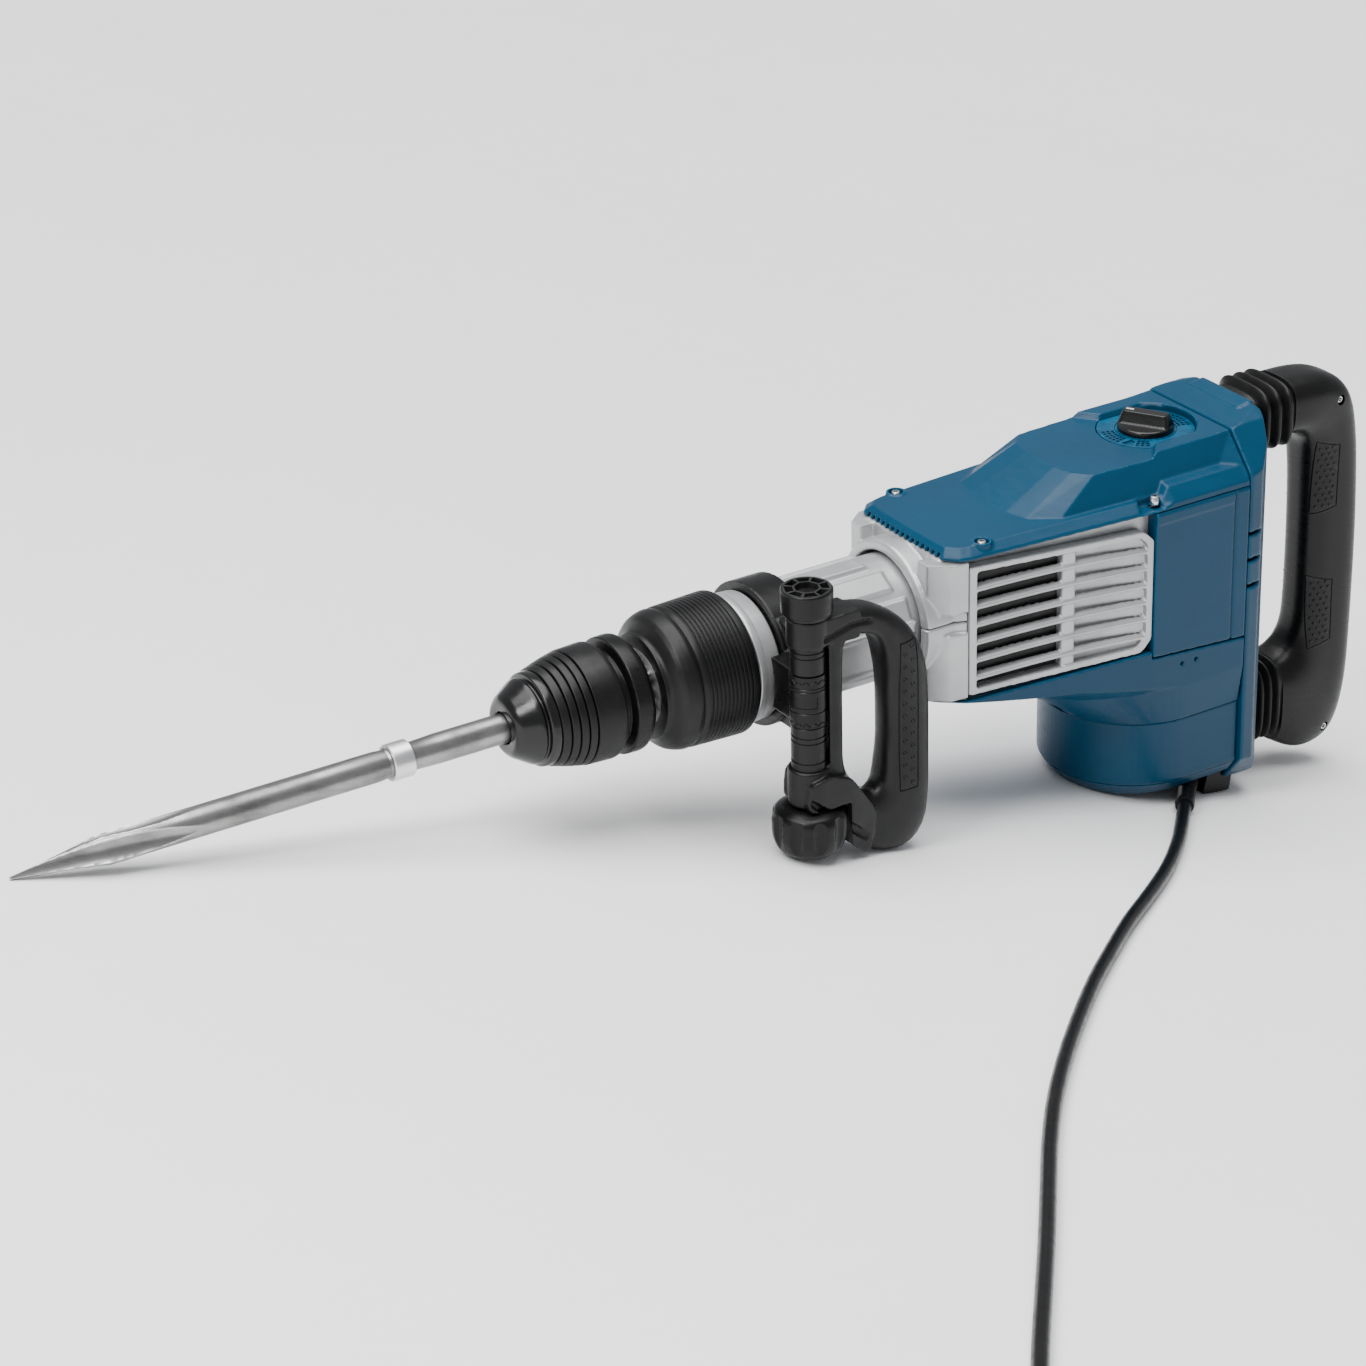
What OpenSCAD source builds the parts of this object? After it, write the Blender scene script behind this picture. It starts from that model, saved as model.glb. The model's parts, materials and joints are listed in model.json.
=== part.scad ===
// Electric demolition hammer with a pointed chisel, side handle and damped rear handle.
// Everything but the cord is drawn in the tool's own frame: X along the tool axis from
// the chisel to the rear handle, Z up through the motor axis, origin on the tool axis at
// the back of the angle ring. resting() then tips it nose-down onto its three feet: the
// chisel's point, the rim of the motor pot and the side handle.

/* [Chisel] */
// Diameter of the chisel's shank and shaft
shank_d = 18; // [16:1:18]
// Length of chisel that stands out of the nose cap
chisel_out = 309; // [250:1:309]

/* [Tool holder] */
// Outer radius of the locking sleeve
sleeve_r = 35.7; // [35:0.1:36]
// Outer radius of the angle ring
ring_r = 43.2; // [42:0.1:44]
// Travel of the locking sleeve towards the barrel
sleeve_travel = 7; // [4:0.5:7]

/* [Body] */
// Half the width of the motor housing
body_hw = 62; // [62:0.5:64]
// Wall of the plastic housings
wall = 3.5; // [3:0.5:4]
// Outer radius of the barrel
barrel_r = 38.7; // [38:0.1:39]
// Radius of the motor pot
pot_r = 58; // [57:0.5:58]

/* [Drive] */
// Throw of the crank, half the piston's stroke
crank_r = 14; // [10:1:14]
// Bore radius of the hammer tube
bore_r = 19; // [19:0.1:19.5]

/* [Side handle] */
// Distance of the clamp bolt from the tool axis
bolt_y = 70; // [70:1:74]
// Thickness of the side grip
grip_t = 26; // [24:1:28]

/* [Cord] */
// Diameter of the mains cord
cord_d = 9; // [8:0.5:9]

/* [Hidden] */
$fn = 64;

// Resting pose: the plane through the chisel's point and the pot's front rim is the floor.
pot_bottom = -158;
foot_x = 263;
tip_x = -146 - chisel_out;
rest_tilt = atan((-1 - pot_bottom) / (foot_x - tip_x));
lift = -(foot_x * sin(rest_tilt) + pot_bottom * cos(rest_tilt));
centre_x = -30.4;
centre_y = 15.5;

// Colours
blue = "#0a5a88";
silver = "#c9cccf";
black = "#1d1e20";
rubber = "#2b2c2e";
steel = "#8f9498";

module in_world() {
    translate([centre_x, centre_y, 0]) children();
}

module resting() {
    in_world() translate([0, 0, lift]) rotate([0, -rest_tilt, 0]) children();
}

// Turns a shape drawn along +Z so that it lies along the tool axis, from x.
module along_axis(x) {
    translate([x, 0, 0]) rotate([0, 90, 0]) children();
}

// Solid of revolution about the tool axis; points are [radius, x].
module turned(points) {
    rotate([0, 90, 0]) rotate_extrude($fn = 96) polygon(points);
}

module tube(r_out, r_in, h) {
    difference() {
        cylinder(r = r_out, h = h);
        translate([0, 0, -1]) cylinder(r = r_in, h = h + 2);
    }
}

// Rectangle from corner to corner with round corners, without offset().
module round_rect(x0, y0, x1, y1, r) {
    translate([x0 + r, y0]) square([x1 - x0 - 2 * r, y1 - y0]);
    translate([x0, y0 + r]) square([x1 - x0, y1 - y0 - 2 * r]);
    for (x = [x0 + r, x1 - r], y = [y0 + r, y1 - r]) translate([x, y]) circle(r = r);
}

// Extrudes an outline drawn in (x, z) across the tool from y0 to y1.
module across(y0, y1) {
    translate([0, y1, 0]) rotate([90, 0, 0]) linear_extrude(y1 - y0) children();
}

// Extrudes an outline drawn in (x, y) from z0 up to z1.
module upward(z0, z1) {
    translate([0, 0, z0]) linear_extrude(z1 - z0) children();
}

// Profile points of a ring of round ribs: out and back between two radii, from x0 to x1.
function ribs(x0, x1, n, r_low, r_high) = [
    for (i = [0 : n - 1], s = [0, 1, 2, 3])
        [s == 0 || s == 3 ? r_low : r_high, x0 + (x1 - x0) * (i + [0.05, 0.25, 0.7, 0.9][s]) / n]];

// ---- Chisel -------------------------------------------------------------------------
collar_x = -222;
collar_l = 14;
shank_end = -62;

module chisel() {
    r = shank_d / 2;
    color(steel) resting() difference() {
        union() {
            turned([[0, tip_x], [1, tip_x], [10.2, tip_x + 55], [r, tip_x + 72],
                [r, shank_end - 1], [r - 1, shank_end], [0, shank_end]]);
            turned([[r - 1, collar_x], [11, collar_x + 0.8], [11, collar_x + collar_l - 0.8],
                [r - 1, collar_x + collar_l]]);
        }
        for (side = [1, -1]) translate([-113, -4.5, side > 0 ? 6 : -16]) cube([30, 9, 10]);
    }
}

// ---- Tool holder --------------------------------------------------------------------
holder_r = 17;
sleeve_end = -54 - sleeve_travel;

module tool_holder() {
    color(steel) resting() difference() {
        turned([[9.05, -133.4], [holder_r, -133.4], [holder_r, -53], [24, -53], [24, -40],
            [20.7, -40], [20.7, 18], [13, 18], [13, -62], [9.05, -62]]);
        for (side = [1, -1]) translate([-111.5, -4.5, side > 0 ? 6 : -20]) cube([13, 9, 14]);
    }
}

module locking_rollers() {
    color(steel) resting() for (side = [1, -1])
        translate([-111, 0, side * 10.7]) rotate([0, 90, 0]) cylinder(r = 4, h = 12);
}

module nose_cap() {
    color(black) resting() turned([[9.8, -146], [16.2, -146], [18.6, -145], [25.5, -134],
        [28.8, -127.5], [28.8, -122], [17.4, -122], [17.4, -141], [9.8, -141]]);
}

module locking_sleeve() {
    color(rubber) resting() turned(concat(
        [[17.4, -122], [30.4, -122], [32.8, -114]],
        ribs(-113, -86, 4, sleeve_r - 1.5, sleeve_r),
        [[34.6, -85], [34.6, -79], [17.4, -79]]));
}

module sleeve_ring() {
    color(black) resting() difference() {
        turned([[17.4, -79], [34.6, -79], [35.8, -77.5], [36, -74], [36, sleeve_end - 5], [35, sleeve_end - 1],
            [33.4, sleeve_end], [17.4, sleeve_end]]);
        // Release notches in the ring's edge
        for (a = [0, 180]) rotate([a, 0, 0]) translate([-70, -9, 32.5]) cube([10, 18, 6]);
    }
}

module angle_ring() {
    color(rubber) resting() turned(concat(
        [[24, -53], [33, -53], [36, -52], [39.4, -49], [42.2, -44.8], [ring_r, -39], [ring_r, -31]],
        ribs(-30, -4, 5, ring_r - 0.2, ring_r + 1),
        [[44.4, -3], [44.4, 4], [43.4, 5], [36, 5], [36, -20], [24, -20]]));
}

// ---- Barrel -------------------------------------------------------------------------
barrel_x0 = 22;
barrel_x1 = 130;
snout_r = 33.5;

module front_ring() {
    color(silver) resting() turned([[snout_r, 6.5], [40.4, 6.5], [41, 8], [40.2, 12],
        [39.8, 22], [snout_r, 22]]);
}

module barrel_housing() {
    color(silver) resting() difference() {
        union() {
            along_axis(-12) cylinder(r = snout_r, h = 40);
            along_axis(barrel_x0) cylinder(r = barrel_r - 1.7, h = barrel_x1 - barrel_x0);
            // Raised flats with stepped ends along the barrel
            intersection() {
                along_axis(barrel_x0) cylinder(r = barrel_r, h = barrel_x1 - barrel_x0);
                for (i = [0 : 5]) rotate([i * 60, 0, 0])
                    translate([barrel_x0 + 28, -13, 30]) cube([66, 26, 12]);
            }
        }
        along_axis(-13) cylinder(r = 25, h = 146);
        along_axis(36) cylinder(r = 32.5, h = 82);
    }
}

module spindle_bearing() {
    color(steel) resting() along_axis(-10) tube(25, 21, 26);
}

module hammer_tube() {
    color(steel) resting() difference() {
        along_axis(20) tube(25, bore_r, 177);
        for (a = [0 : 90 : 270]) rotate([a + 45, 0, 0])
            translate([60, 0, 0]) cylinder(r = 2.5, h = 30);
    }
}

// ---- Gear housing -------------------------------------------------------------------
split_z = 5;
block_top = 46;
block_bottom = -48;
crank_x = 264;

module block_outline() {
    polygon([[136, -38], [143, -46], [150, -49], [150, -43], [283, -53], [336, -53],
        [336, 53], [283, 53], [150, 43], [150, 49], [143, 46], [136, 38]]);
}

module block_solid() {
    upward(block_bottom, block_top) block_outline();
    along_axis(124) cylinder(r = 46, h = 20);
}

module block_inside() {
    upward(-38, 38) polygon([[152, -36], [220, -42], [328, -46], [328, 46], [220, 42], [152, 36]]);
    along_axis(123) cylinder(r = 25, h = 40);
    along_axis(123) cylinder(r = barrel_r, h = 7);
}

module gear_housing_upper() {
    color(silver) resting() intersection() {
        difference() {
            block_solid();
            block_inside();
        }
        translate([100, -80, split_z]) cube([260, 160, 60]);
    }
}

module gear_housing_lower() {
    color(silver) resting() difference() {
        intersection() {
            difference() {
                block_solid();
                block_inside();
            }
            translate([100, -80, split_z - 60]) cube([260, 160, 60]);
        }
        translate([crank_x, 0, -60]) cylinder(r = 16, h = 30);
        translate([motor_x, 0, -60]) cylinder(r = 11, h = 30);
    }
}

// Louvred side grille; drawn on the near side and mirrored for the other.
grille_t = 8;

module side_grille() {
    outline = [[150, -44.5], [150, 41], [275, 35.5], [283, 28], [283, -39], [275, -47.5]];
    fins = 6;
    intersection() {
        across(-70, -40) polygon(outline);
        union() {
            difference() {
                upward(-60, 60) polygon([[150, -51], [150, -43], [283, -53], [283, -61]]);
                for (i = [0 : fins]) {
                    z_front = 35.5 - i * 11.9;
                    z_rear = 31 - i * 11.6;
                    across(-71, -39) polygon([[155, z_front - 8.6], [155, z_front],
                        [278, z_rear], [278, z_rear - 8.2]]);
                }
            }
            // Sloping back wall and post behind the fins
            upward(-60, 60) polygon([[150, -44.5], [150, -43], [283, -53], [283, -54.5]]);
            upward(-60, 60) polygon([[217, -52], [217, -49], [226, -49.7], [226, -52.8]]);
        }
    }
}

module side_grille_left() {
    color(silver) resting() side_grille();
}

module side_grille_right() {
    color(silver) resting() mirror([0, 1, 0]) side_grille();
}

// ---- Blue covers --------------------------------------------------------------------
seam_x = 357;
motor_x = 313;
dial_x = 322;
plate_r = 31;
hood_base = 46;

module hood_profile() {
    polygon([[136, hood_base], [136, 51], [140, 55], [206, 55], [250, 75], [seam_x, 75],
        [seam_x, hood_base]]);
}

module hood() {
    color(blue) resting() difference() {
        union() {
            // Low deck over the gear block
            intersection() {
                across(-80, 80) polygon([[136, hood_base], [136, 50], [140, 53],
                    [seam_x, 53], [seam_x, hood_base]]);
                upward(0, 90) polygon([[136, -44], [144, -50], [150, -52], [283, -body_hw],
                    [seam_x, -body_hw], [seam_x, body_hw], [283, body_hw], [150, 52],
                    [144, 50], [136, 44]]);
            }
            // Raised roof with sloping flanks
            intersection() {
                across(-80, 80) hood_profile();
                translate([130, 0, 0]) rotate([90, 0, 90]) linear_extrude(240)
                    polygon([[-52, 40], [-38, 75], [38, 75], [52, 40]]);
            }
        }
        // Room above the gear block
        across(-34, 34) polygon([[160, 40], [160, 50], [208, 50], [252, 70], [350, 70], [350, 40]]);
        translate([dial_x, 0, 66]) cylinder(r = plate_r, h = 20);
        for (s = [-1, 1]) {
            translate([163, s * 45, 49]) cylinder(r = 3.4, h = 10);
            translate([287, s * 54, 49]) cylinder(r = 3.4, h = 10);
        }
    }
}

module hood_screws() {
    color(silver) resting() for (s = [-1, 1], p = [[163, 45], [287, 54]])
        translate([p[0], s * p[1], 49]) difference() {
            cylinder(r = 3.3, h = 5.5);
            translate([0, 0, 3.5]) cylinder(r = 1.6, h = 3, $fn = 6);
        }
}

module dial_plate() {
    color(blue) resting() difference() {
        translate([dial_x, 0, 66]) cylinder(r = plate_r, h = 6);
        translate([dial_x, 0, 60]) cylinder(r = 6, h = 20);
        // Dots round the dial, in six groups
        for (group = [0 : 60 : 300], a = [-18 : 9 : 18]) rotate_about_dial(group + a)
            translate([26, 0, 70.8]) cylinder(r = 1.1, h = 3);
    }
}

module rotate_about_dial(a) {
    translate([dial_x, 0, 0]) rotate([0, 0, a]) children();
}

module power_dial() {
    color(black) resting() translate([dial_x, 0, 0]) union() {
        translate([0, 0, 72.3]) cylinder(r = 18, h = 3);
        intersection() {
            translate([-19, -6.5, 75]) cube([38, 13, 9]);
            translate([0, 0, 70]) cylinder(r = 18, h = 20);
        }
        translate([0, 0, 62]) cylinder(r = 5.9, h = 11);
    }
}

module main_housing() {
    color(blue) resting() difference() {
        upward(-104, hood_base) polygon([[283.3, -body_hw], [seam_x, -body_hw],
            [seam_x, body_hw], [283.3, body_hw]]);
        upward(-100, 60) square_between(283, -body_hw + wall, 336.5, body_hw - wall);
        upward(-105, 60) square_between(330, -body_hw + wall, seam_x - wall, body_hw - wall);
        upward(-105, -90) square_between(262, -53, seam_x - wall, 53);
        for (s = [-1, 1], x = [307, 318])
            translate([x, s * body_hw - 1.5, -60]) rotate([-90, 0, 0]) cylinder(r = 1.8, h = 3);
    }
}

module square_between(x0, y0, x1, y1) {
    translate([x0, y0]) square([x1 - x0, y1 - y0]);
}

module pot_screws() {
    color(steel) resting() at_pot_screws() translate([0, 0, -157]) difference() {
        cylinder(r = 3.9, h = 3);
        translate([0, 0, -1]) cylinder(r = 1.8, h = 2.5, $fn = 6);
    }
}

module at_pot_screws() {
    for (x = [motor_x - 22, motor_x + 30], y = [-34, 34]) translate([x, y, 0]) children();
}

module chin_cover() {
    color(blue) resting() difference() {
        intersection() {
            across(-80, 80) polygon([[118, -48.3], [283, -48.3], [283, -104], [256, -104],
                [252, -98], [196, -64], [150, -57], [122, -53]]);
            upward(-110, -40) polygon([[118, -30], [150, -51], [283, -61], [283, 61],
                [150, 51], [118, 30]]);
        }
        across(-50, 50) polygon([[220, -47], [290, -47], [290, -110], [262, -110], [257, -96],
            [220, -71]]);
        across(-44, 44) polygon([[160, -47], [221, -47], [221, -72], [196, -59], [160, -54]]);
    }
}

module pot_outline(r) {
    intersection() {
        translate([motor_x, 0]) circle(r = r);
        square_between(200, -r, motor_x + 1, r);
    }
    translate([motor_x, -r]) square([seam_x - motor_x, 2 * r]);
}

module motor_pot() {
    color(blue) resting() difference() {
        upward(-148, -104.3) pot_outline(pot_r);
        upward(-149, -104) intersection() {
            pot_outline(pot_r - wall);
            square_between(200, -80, seam_x - wall, 80);
        }
    }
}

module pot_cap() {
    color(blue) resting() difference() {
        union() {
            for (i = [0 : 3]) upward(-148.3 - 2.4 * (i + 1), -148.3 - 2.4 * i) pot_outline(pot_r - 1 - 2.3 * i);
        }
        translate([motor_x, 0, -153]) cylinder(r = 40, h = 5);
        at_pot_screws() translate([0, 0, -159]) cylinder(r = 4, h = 5);
        for (a = [30 : 30 : 150]) translate([motor_x, 0, -160]) rotate([0, 0, a + 90])
            translate([0, 28, 0]) cylinder(r = 2, h = 9);
    }
}

module rear_outline(inset) {
    polygon([[seam_x + 0.3, -62 + inset], [368, -60 + inset], [379, -50 + inset],
        [390 - inset, -26], [390 - inset, 26], [379, 50 - inset], [368, 60 - inset],
        [seam_x + 0.3, 62 - inset]]);
}

// Sections of the two arms and their bellows, in (y, z)
arm_hw = 21;

module arm_section(z0, z1, grow) {
    round_rect(z0 - grow, -arm_hw - grow, z1 + grow, arm_hw + grow, 12);
}

// Block of that section from x0 to x1
module arm_block(x0, x1, z0, z1, grow) {
    translate([x0, 0, 0]) rotate([0, 90, 0]) mirror([1, 0, 0]) linear_extrude(x1 - x0)
        arm_section(z0, z1, grow);
}

upper_z = [45, 80];
lower_z = [-165, -115];

module rear_cover() {
    color(blue) resting() difference() {
        intersection() {
            upward(-168, 84) rear_outline(0);
            across(-80, 80) polygon([[350, -168], [382, -168], [392, -156], [392, 70],
                [386, 82], [350, 75.5]]);
            translate([340, 0, 0]) rotate([90, 0, 90]) linear_extrude(60)
                polygon([[-44, -168], [44, -168], [62, -146], [62, 52], [40, 78], [28, 82],
                    [-28, 82], [-40, 78], [-62, 52], [-62, -146]]);
        }
        upward(-100, 44) rear_outline(wall);
        arm_block(378, 395, upper_z[0], upper_z[1], 0.6);
        arm_block(378, 395, lower_z[0], lower_z[1], 0.6);
        // Notch for the cable gland
        across(-44.6, -3.4) polygon([[340, -157.4], [367.7, -157.4], [364.8, -180], [340, -180]]);
        translate([380, -20, -6]) rotate([0, 90, 0]) cylinder(r = 2.6, h = 20);
        for (z = rod_zs) {
            along_axis_at(367, z) cylinder(r = 5, h = 30);
            along_axis_at(373.9, z) cylinder(r = 9, h = 10);
        }
    }
}

module rear_light() {
    color("white") resting() translate([383, -20, -6]) rotate([0, 90, 0]) cylinder(r = 2.5, h = 7.4);
}

// ---- Damped rear handle -------------------------------------------------------------
arm_x = 426;
rod_zs = [62.5, -140];
screw_zs = [62, -173];

module handle_guides() {
    color(steel) resting() for (z = rod_zs) {
        along_axis_at(368, z) cylinder(r = 5, h = 74);
        along_axis_at(374, z) cylinder(r = 9, h = 6);
    }
}

module along_axis_at(x, z) {
    translate([x, 0, z]) rotate([0, 90, 0]) children();
}

// A coil spring drawn as a swept tube
module damper_springs() {
    coils = 4;
    color(steel) resting() for (z = rod_zs)
        along_axis_at(381, z) sweep([for (i = [0 : coils * 10])
            [7.6 * cos(i * 36), 7.6 * sin(i * 36), i * 36 / (coils * 10)]], 1.1, 6);
}

module bellows(z0, z1, n, rib) {
    difference() {
        union() {
            arm_block(384, arm_x, z0, z1, 0);
            for (i = [0 : n - 1]) {
                x = 397 + i * 27 / n;
                arm_block(x, x + 15 / n, z0, z1, rib);
                arm_block(x - 1.6, x + 15 / n + 1.6, z0, z1, rib / 2);
            }
        }
        translate([380, 0, (z0 + z1) / 2]) rotate([0, 90, 0]) cylinder(r = 12, h = 60);
    }
}

module upper_bellows() {
    color(rubber) resting() bellows(upper_z[0], upper_z[1], 3, 4.8);
}

module lower_bellows() {
    color(rubber) resting() bellows(lower_z[0], lower_z[1], 4, 3.4);
}

module grip_outline() {
    polygon([[arm_x, 45], [arm_x, 83], [456, 80], [474, 70], [486, 50], [490, 20], [493, -30],
        [492, -80], [490, -140], [483, -172], [474, -183], [446, -189], [arm_x, -175],
        [arm_x, -115], [438, -111], [446, -96], [446, 22], [444, 35], [438, 42]]);
}

module rear_grip() {
    color(black) resting() difference() {
        union() {
            across(-17, 17) grip_outline();
            intersection() {
                across(-22, 22) grip_outline();
                union() {
                    translate([arm_x, -30, 42]) cube([30, 60, 50]);
                    translate([arm_x, -30, -195]) cube([34, 60, 84]);
                }
            }
        }
        for (z = rod_zs) along_axis_at(arm_x - 1, z) cylinder(r = 5.06, h = 26);
        // Pocket for the rocker switch in the back of the grip
        translate([477, -8, -112]) cube([26, 16, 104]);
        for (z = screw_zs) translate([466, -30, z]) rotate([-90, 0, 0]) cylinder(r = 3.2, h = 16);
    }
}

module grip_switch() {
    color(black) resting() intersection() {
        across(-7.6, 7.6) polygon([[484, -111], [491, -111], [493.5, -90], [492.4, -60],
            [493.5, -30], [490.6, -9], [484, -9], [486, -60]]);
        translate([470, -20, -120]) cube([40, 40, 120]);
    }
}

module handle_screws() {
    color(steel) resting() for (z = screw_zs)
        translate([466, -17.5, z]) rotate([-90, 0, 0]) difference() {
            cylinder(r = 3.1, h = 3);
            translate([0, 0, -1]) cylinder(r = 1.5, h = 2.5, $fn = 6);
        }
}

// ---- Side handle --------------------------------------------------------------------
bolt_x = 20;
claw_y = 56;

module at_bolt() {
    translate([bolt_x, -bolt_y, 0]) children();
}

module clamp_band() {
    color(black) resting() difference() {
        union() {
            along_axis(barrel_x0 + 1) cylinder(r = 45, h = 23);
            at_bolt() translate([0, 0, -15]) cylinder(r = 10.7, h = 33);
            translate([bolt_x - 8, -bolt_y, -15]) cube([18, 32, 33]);
            for (z = [4, -34]) translate([barrel_x0 + 4, -claw_y, z]) cube([17, 30, 30]);
        }
        along_axis(barrel_x0 - 20) cylinder(r = barrel_r - 1.64, h = 80);
        along_axis(barrel_x0 - 40) cylinder(r = 45.5, h = 41);
        at_bolt() translate([0, 0, -40]) cylinder(r = 5.06, h = 80);
    }
}

// Everything under the resting plane, in (x, z)
module below_floor() {
    z_at_0 = pot_bottom + foot_x * tan(rest_tilt);
    polygon([[-100, z_at_0 + 100 * tan(rest_tilt)], [300, z_at_0 - 300 * tan(rest_tilt)],
        [300, -400], [-100, -400]]);
}

module side_grip() {
    color(rubber) resting() difference() {
        union() {
            at_bolt() {
                translate([0, 0, 18.4]) cylinder(r = 10.7, h = 36);
                translate([0, 0, -68]) cylinder(r = 10.7, h = 52.6);
            }
            across(-bolt_y - grip_t / 2, -bolt_y + grip_t / 2) difference() {
                round_rect(27, -118.9, 102, 54, 16);
                round_rect(44, -86, 70, 32, 8);
                below_floor();
            }
            across(-bolt_y - 9, -bolt_y + 9) polygon([[20, 30], [20, 52], [40, 52], [40, 30]]);
            across(-bolt_y - 9, -bolt_y + 9) polygon([[20, -66], [20, -44], [40, -44], [40, -66]]);
        }
        // Room for the clamp's eye and the knob
        at_bolt() translate([0, 0, -15.4]) cylinder(r = 12, h = 33.8);
        at_bolt() translate([0, 0, -130]) cylinder(r = 25, h = 61.6);
        at_bolt() translate([0, 0, -80]) cylinder(r = 5, h = 160);
        across(-bolt_y - 20, -bolt_y + 20) square_between(10, -34, 33, 34);
    }
    color(rubber) resting() at_bolt() {
        translate([0, 0, 18.4]) tube(10.7, 5, 20);
        translate([0, 0, -40]) tube(10.7, 5, 24.6);
    }
}

module clamp_bolt() {
    color(steel) resting() at_bolt() {
        translate([0, 0, -90]) cylinder(r = 5, h = 148);
        translate([0, 0, 58]) cylinder(r = 8, h = 6, $fn = 6);
    }
}

module grip_cap() {
    color(black) resting() at_bolt() difference() {
        union() {
            translate([0, 0, 54.4]) cylinder(r = 14, h = 2);
            translate([0, 0, 56.4]) cylinder(r = 15.7, h = 15.6);
        }
        translate([0, 0, 50]) cylinder(r = 5, h = 9);
        translate([0, 0, 58]) cylinder(r = 12.6, h = 20, $fn = 8);
    }
}

module clamp_knob() {
    color(black) resting() at_bolt() difference() {
        translate([0, 0, -100]) rotate_extrude() polygon([[0, 0], [17, 0], [21.5, 5], [23, 25],
            [20, 29.5], [11, 31], [0, 31]]);
        translate([0, 0, -91]) cylinder(r = 5.05, h = 30);
        for (a = [0 : 36 : 324]) rotate([0, 0, a]) translate([24.5, 0, -110]) cylinder(r = 3.2, h = 45);
    }
}

// ---- Drive --------------------------------------------------------------------------
module beat_piece() {
    color(steel) resting() turned([[0, -61.6], [8.6, -61.6], [8.6, -48], [12.95, -45], [12.95, 24],
        [10, 26], [10, 40], [0, 40]]);
}

module striker() {
    color(steel) resting() turned([[0, 72], [9, 72], [9, 78], [bore_r - 0.05, 80],
        [bore_r - 0.05, 112], [0, 112]]);
}

module piston() {
    color(silver) resting() difference() {
        turned([[0, 150], [bore_r - 0.05, 150], [bore_r - 0.05, 190], [13, 190], [13, 160], [0, 160]]);
        translate([178, 0, -30]) cylinder(r = 4, h = 60);
    }
}

module wrist_pin() {
    color(steel) resting() translate([178, 0, -17]) cylinder(r = 4, h = 34);
}

module connecting_rod() {
    pin_x = crank_x - crank_r;
    color(silver) resting() difference() {
        union() {
            translate([pin_x, 0, -4.5]) cylinder(r = 11, h = 9);
            translate([200, 0, -4.5]) cylinder(r = 8, h = 9);
            translate([200, -5, -3]) cube([pin_x - 200, 10, 6]);
        }
        translate([pin_x, 0, -10]) cylinder(r = 6.05, h = 20);
        translate([200, 0, -10]) cylinder(r = 4.5, h = 20);
    }
}

module crankshaft() {
    color(steel) resting() {
        translate([crank_x, 0, -17]) cylinder(r = 22, h = 11);
        translate([crank_x, 0, -46]) cylinder(r = 8, h = 30);
        translate([crank_x - crank_r, 0, -7]) cylinder(r = 6, h = 14);
    }
}

gear_r = 40;
pinion_r = 9;

// Disc with square teeth that stop just short of the mating gear's
module toothed(r, teeth, h, bore) {
    difference() {
        cylinder(r = r - 0.4, h = h);
        for (i = [0 : teeth - 1]) rotate([0, 0, i * 360 / teeth])
            translate([r - 2.4, -0.28 * PI * r / teeth * 2, -1]) cube([4, 0.56 * PI * r / teeth * 2, h + 2]);
        translate([0, 0, -1]) cylinder(r = bore, h = h + 2);
    }
}

module crank_gear() {
    color(steel) resting() translate([crank_x, 0, -34]) toothed(gear_r, 40, 9, 8);
}

module crank_bearing() {
    color(steel) resting() translate([crank_x, 0, -46]) tube(16, 8.05, 9);
}

module rotor_shaft() {
    color(steel) resting() translate([motor_x, 0, 0]) {
        translate([0, 0, -152]) cylinder(r = 5, h = 118);
        translate([0, 0, -34]) toothed(pinion_r, 9, 9, 0.01);
    }
}

module rotor_core() {
    color(steel) resting() translate([motor_x, 0, -128]) difference() {
        cylinder(r = 26, h = 60);
        translate([0, 0, -1]) cylinder(r = 5, h = 62);
        for (i = [0 : 11]) rotate([0, 0, i * 30]) translate([20, -1.5, -1]) cube([8, 3, 62]);
    }
}

module commutator() {
    color("#b5703a") resting() translate([motor_x, 0, -143]) tube(13, 5, 12);
}

module fan() {
    color(black) resting() translate([motor_x, 0, -62]) {
        tube(9, 5, 10);
        for (i = [0 : 8]) rotate([0, 0, i * 40]) translate([8.5, -1, 0]) cube([30, 2, 8]);
    }
}

module stator() {
    color(steel) resting() translate([motor_x, 0, -128]) tube(40, 27, 60);
}

module brush_holders() {
    color("#b58a4a") resting() for (s = [-1, 1])
        translate([motor_x - 5, s > 0 ? 13.3 : -35.3, -142]) cube([10, 22, 9]);
}

module rotor_bearings() {
    color(steel) resting() {
        translate([motor_x, 0, -152.5]) tube(11, 5.05, 6);
        translate([motor_x, 0, -46]) tube(11, 5.05, 7);
    }
}

module control_module() {
    color(black) resting() translate([341, -34, -46]) cube([12, 68, 80]);
}

// ---- Cord ---------------------------------------------------------------------------
// World places on the floor, before in_world() shifts them.
relief_start = [374, -25, 8];
relief_end = [334, -69, 6.2];
cord_r = cord_d / 2;
coil_c = [-256, -784];
coil_turn_r = [43, 52, 61];
coil_layers = 4;
coil_lift = 1.2;

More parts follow.
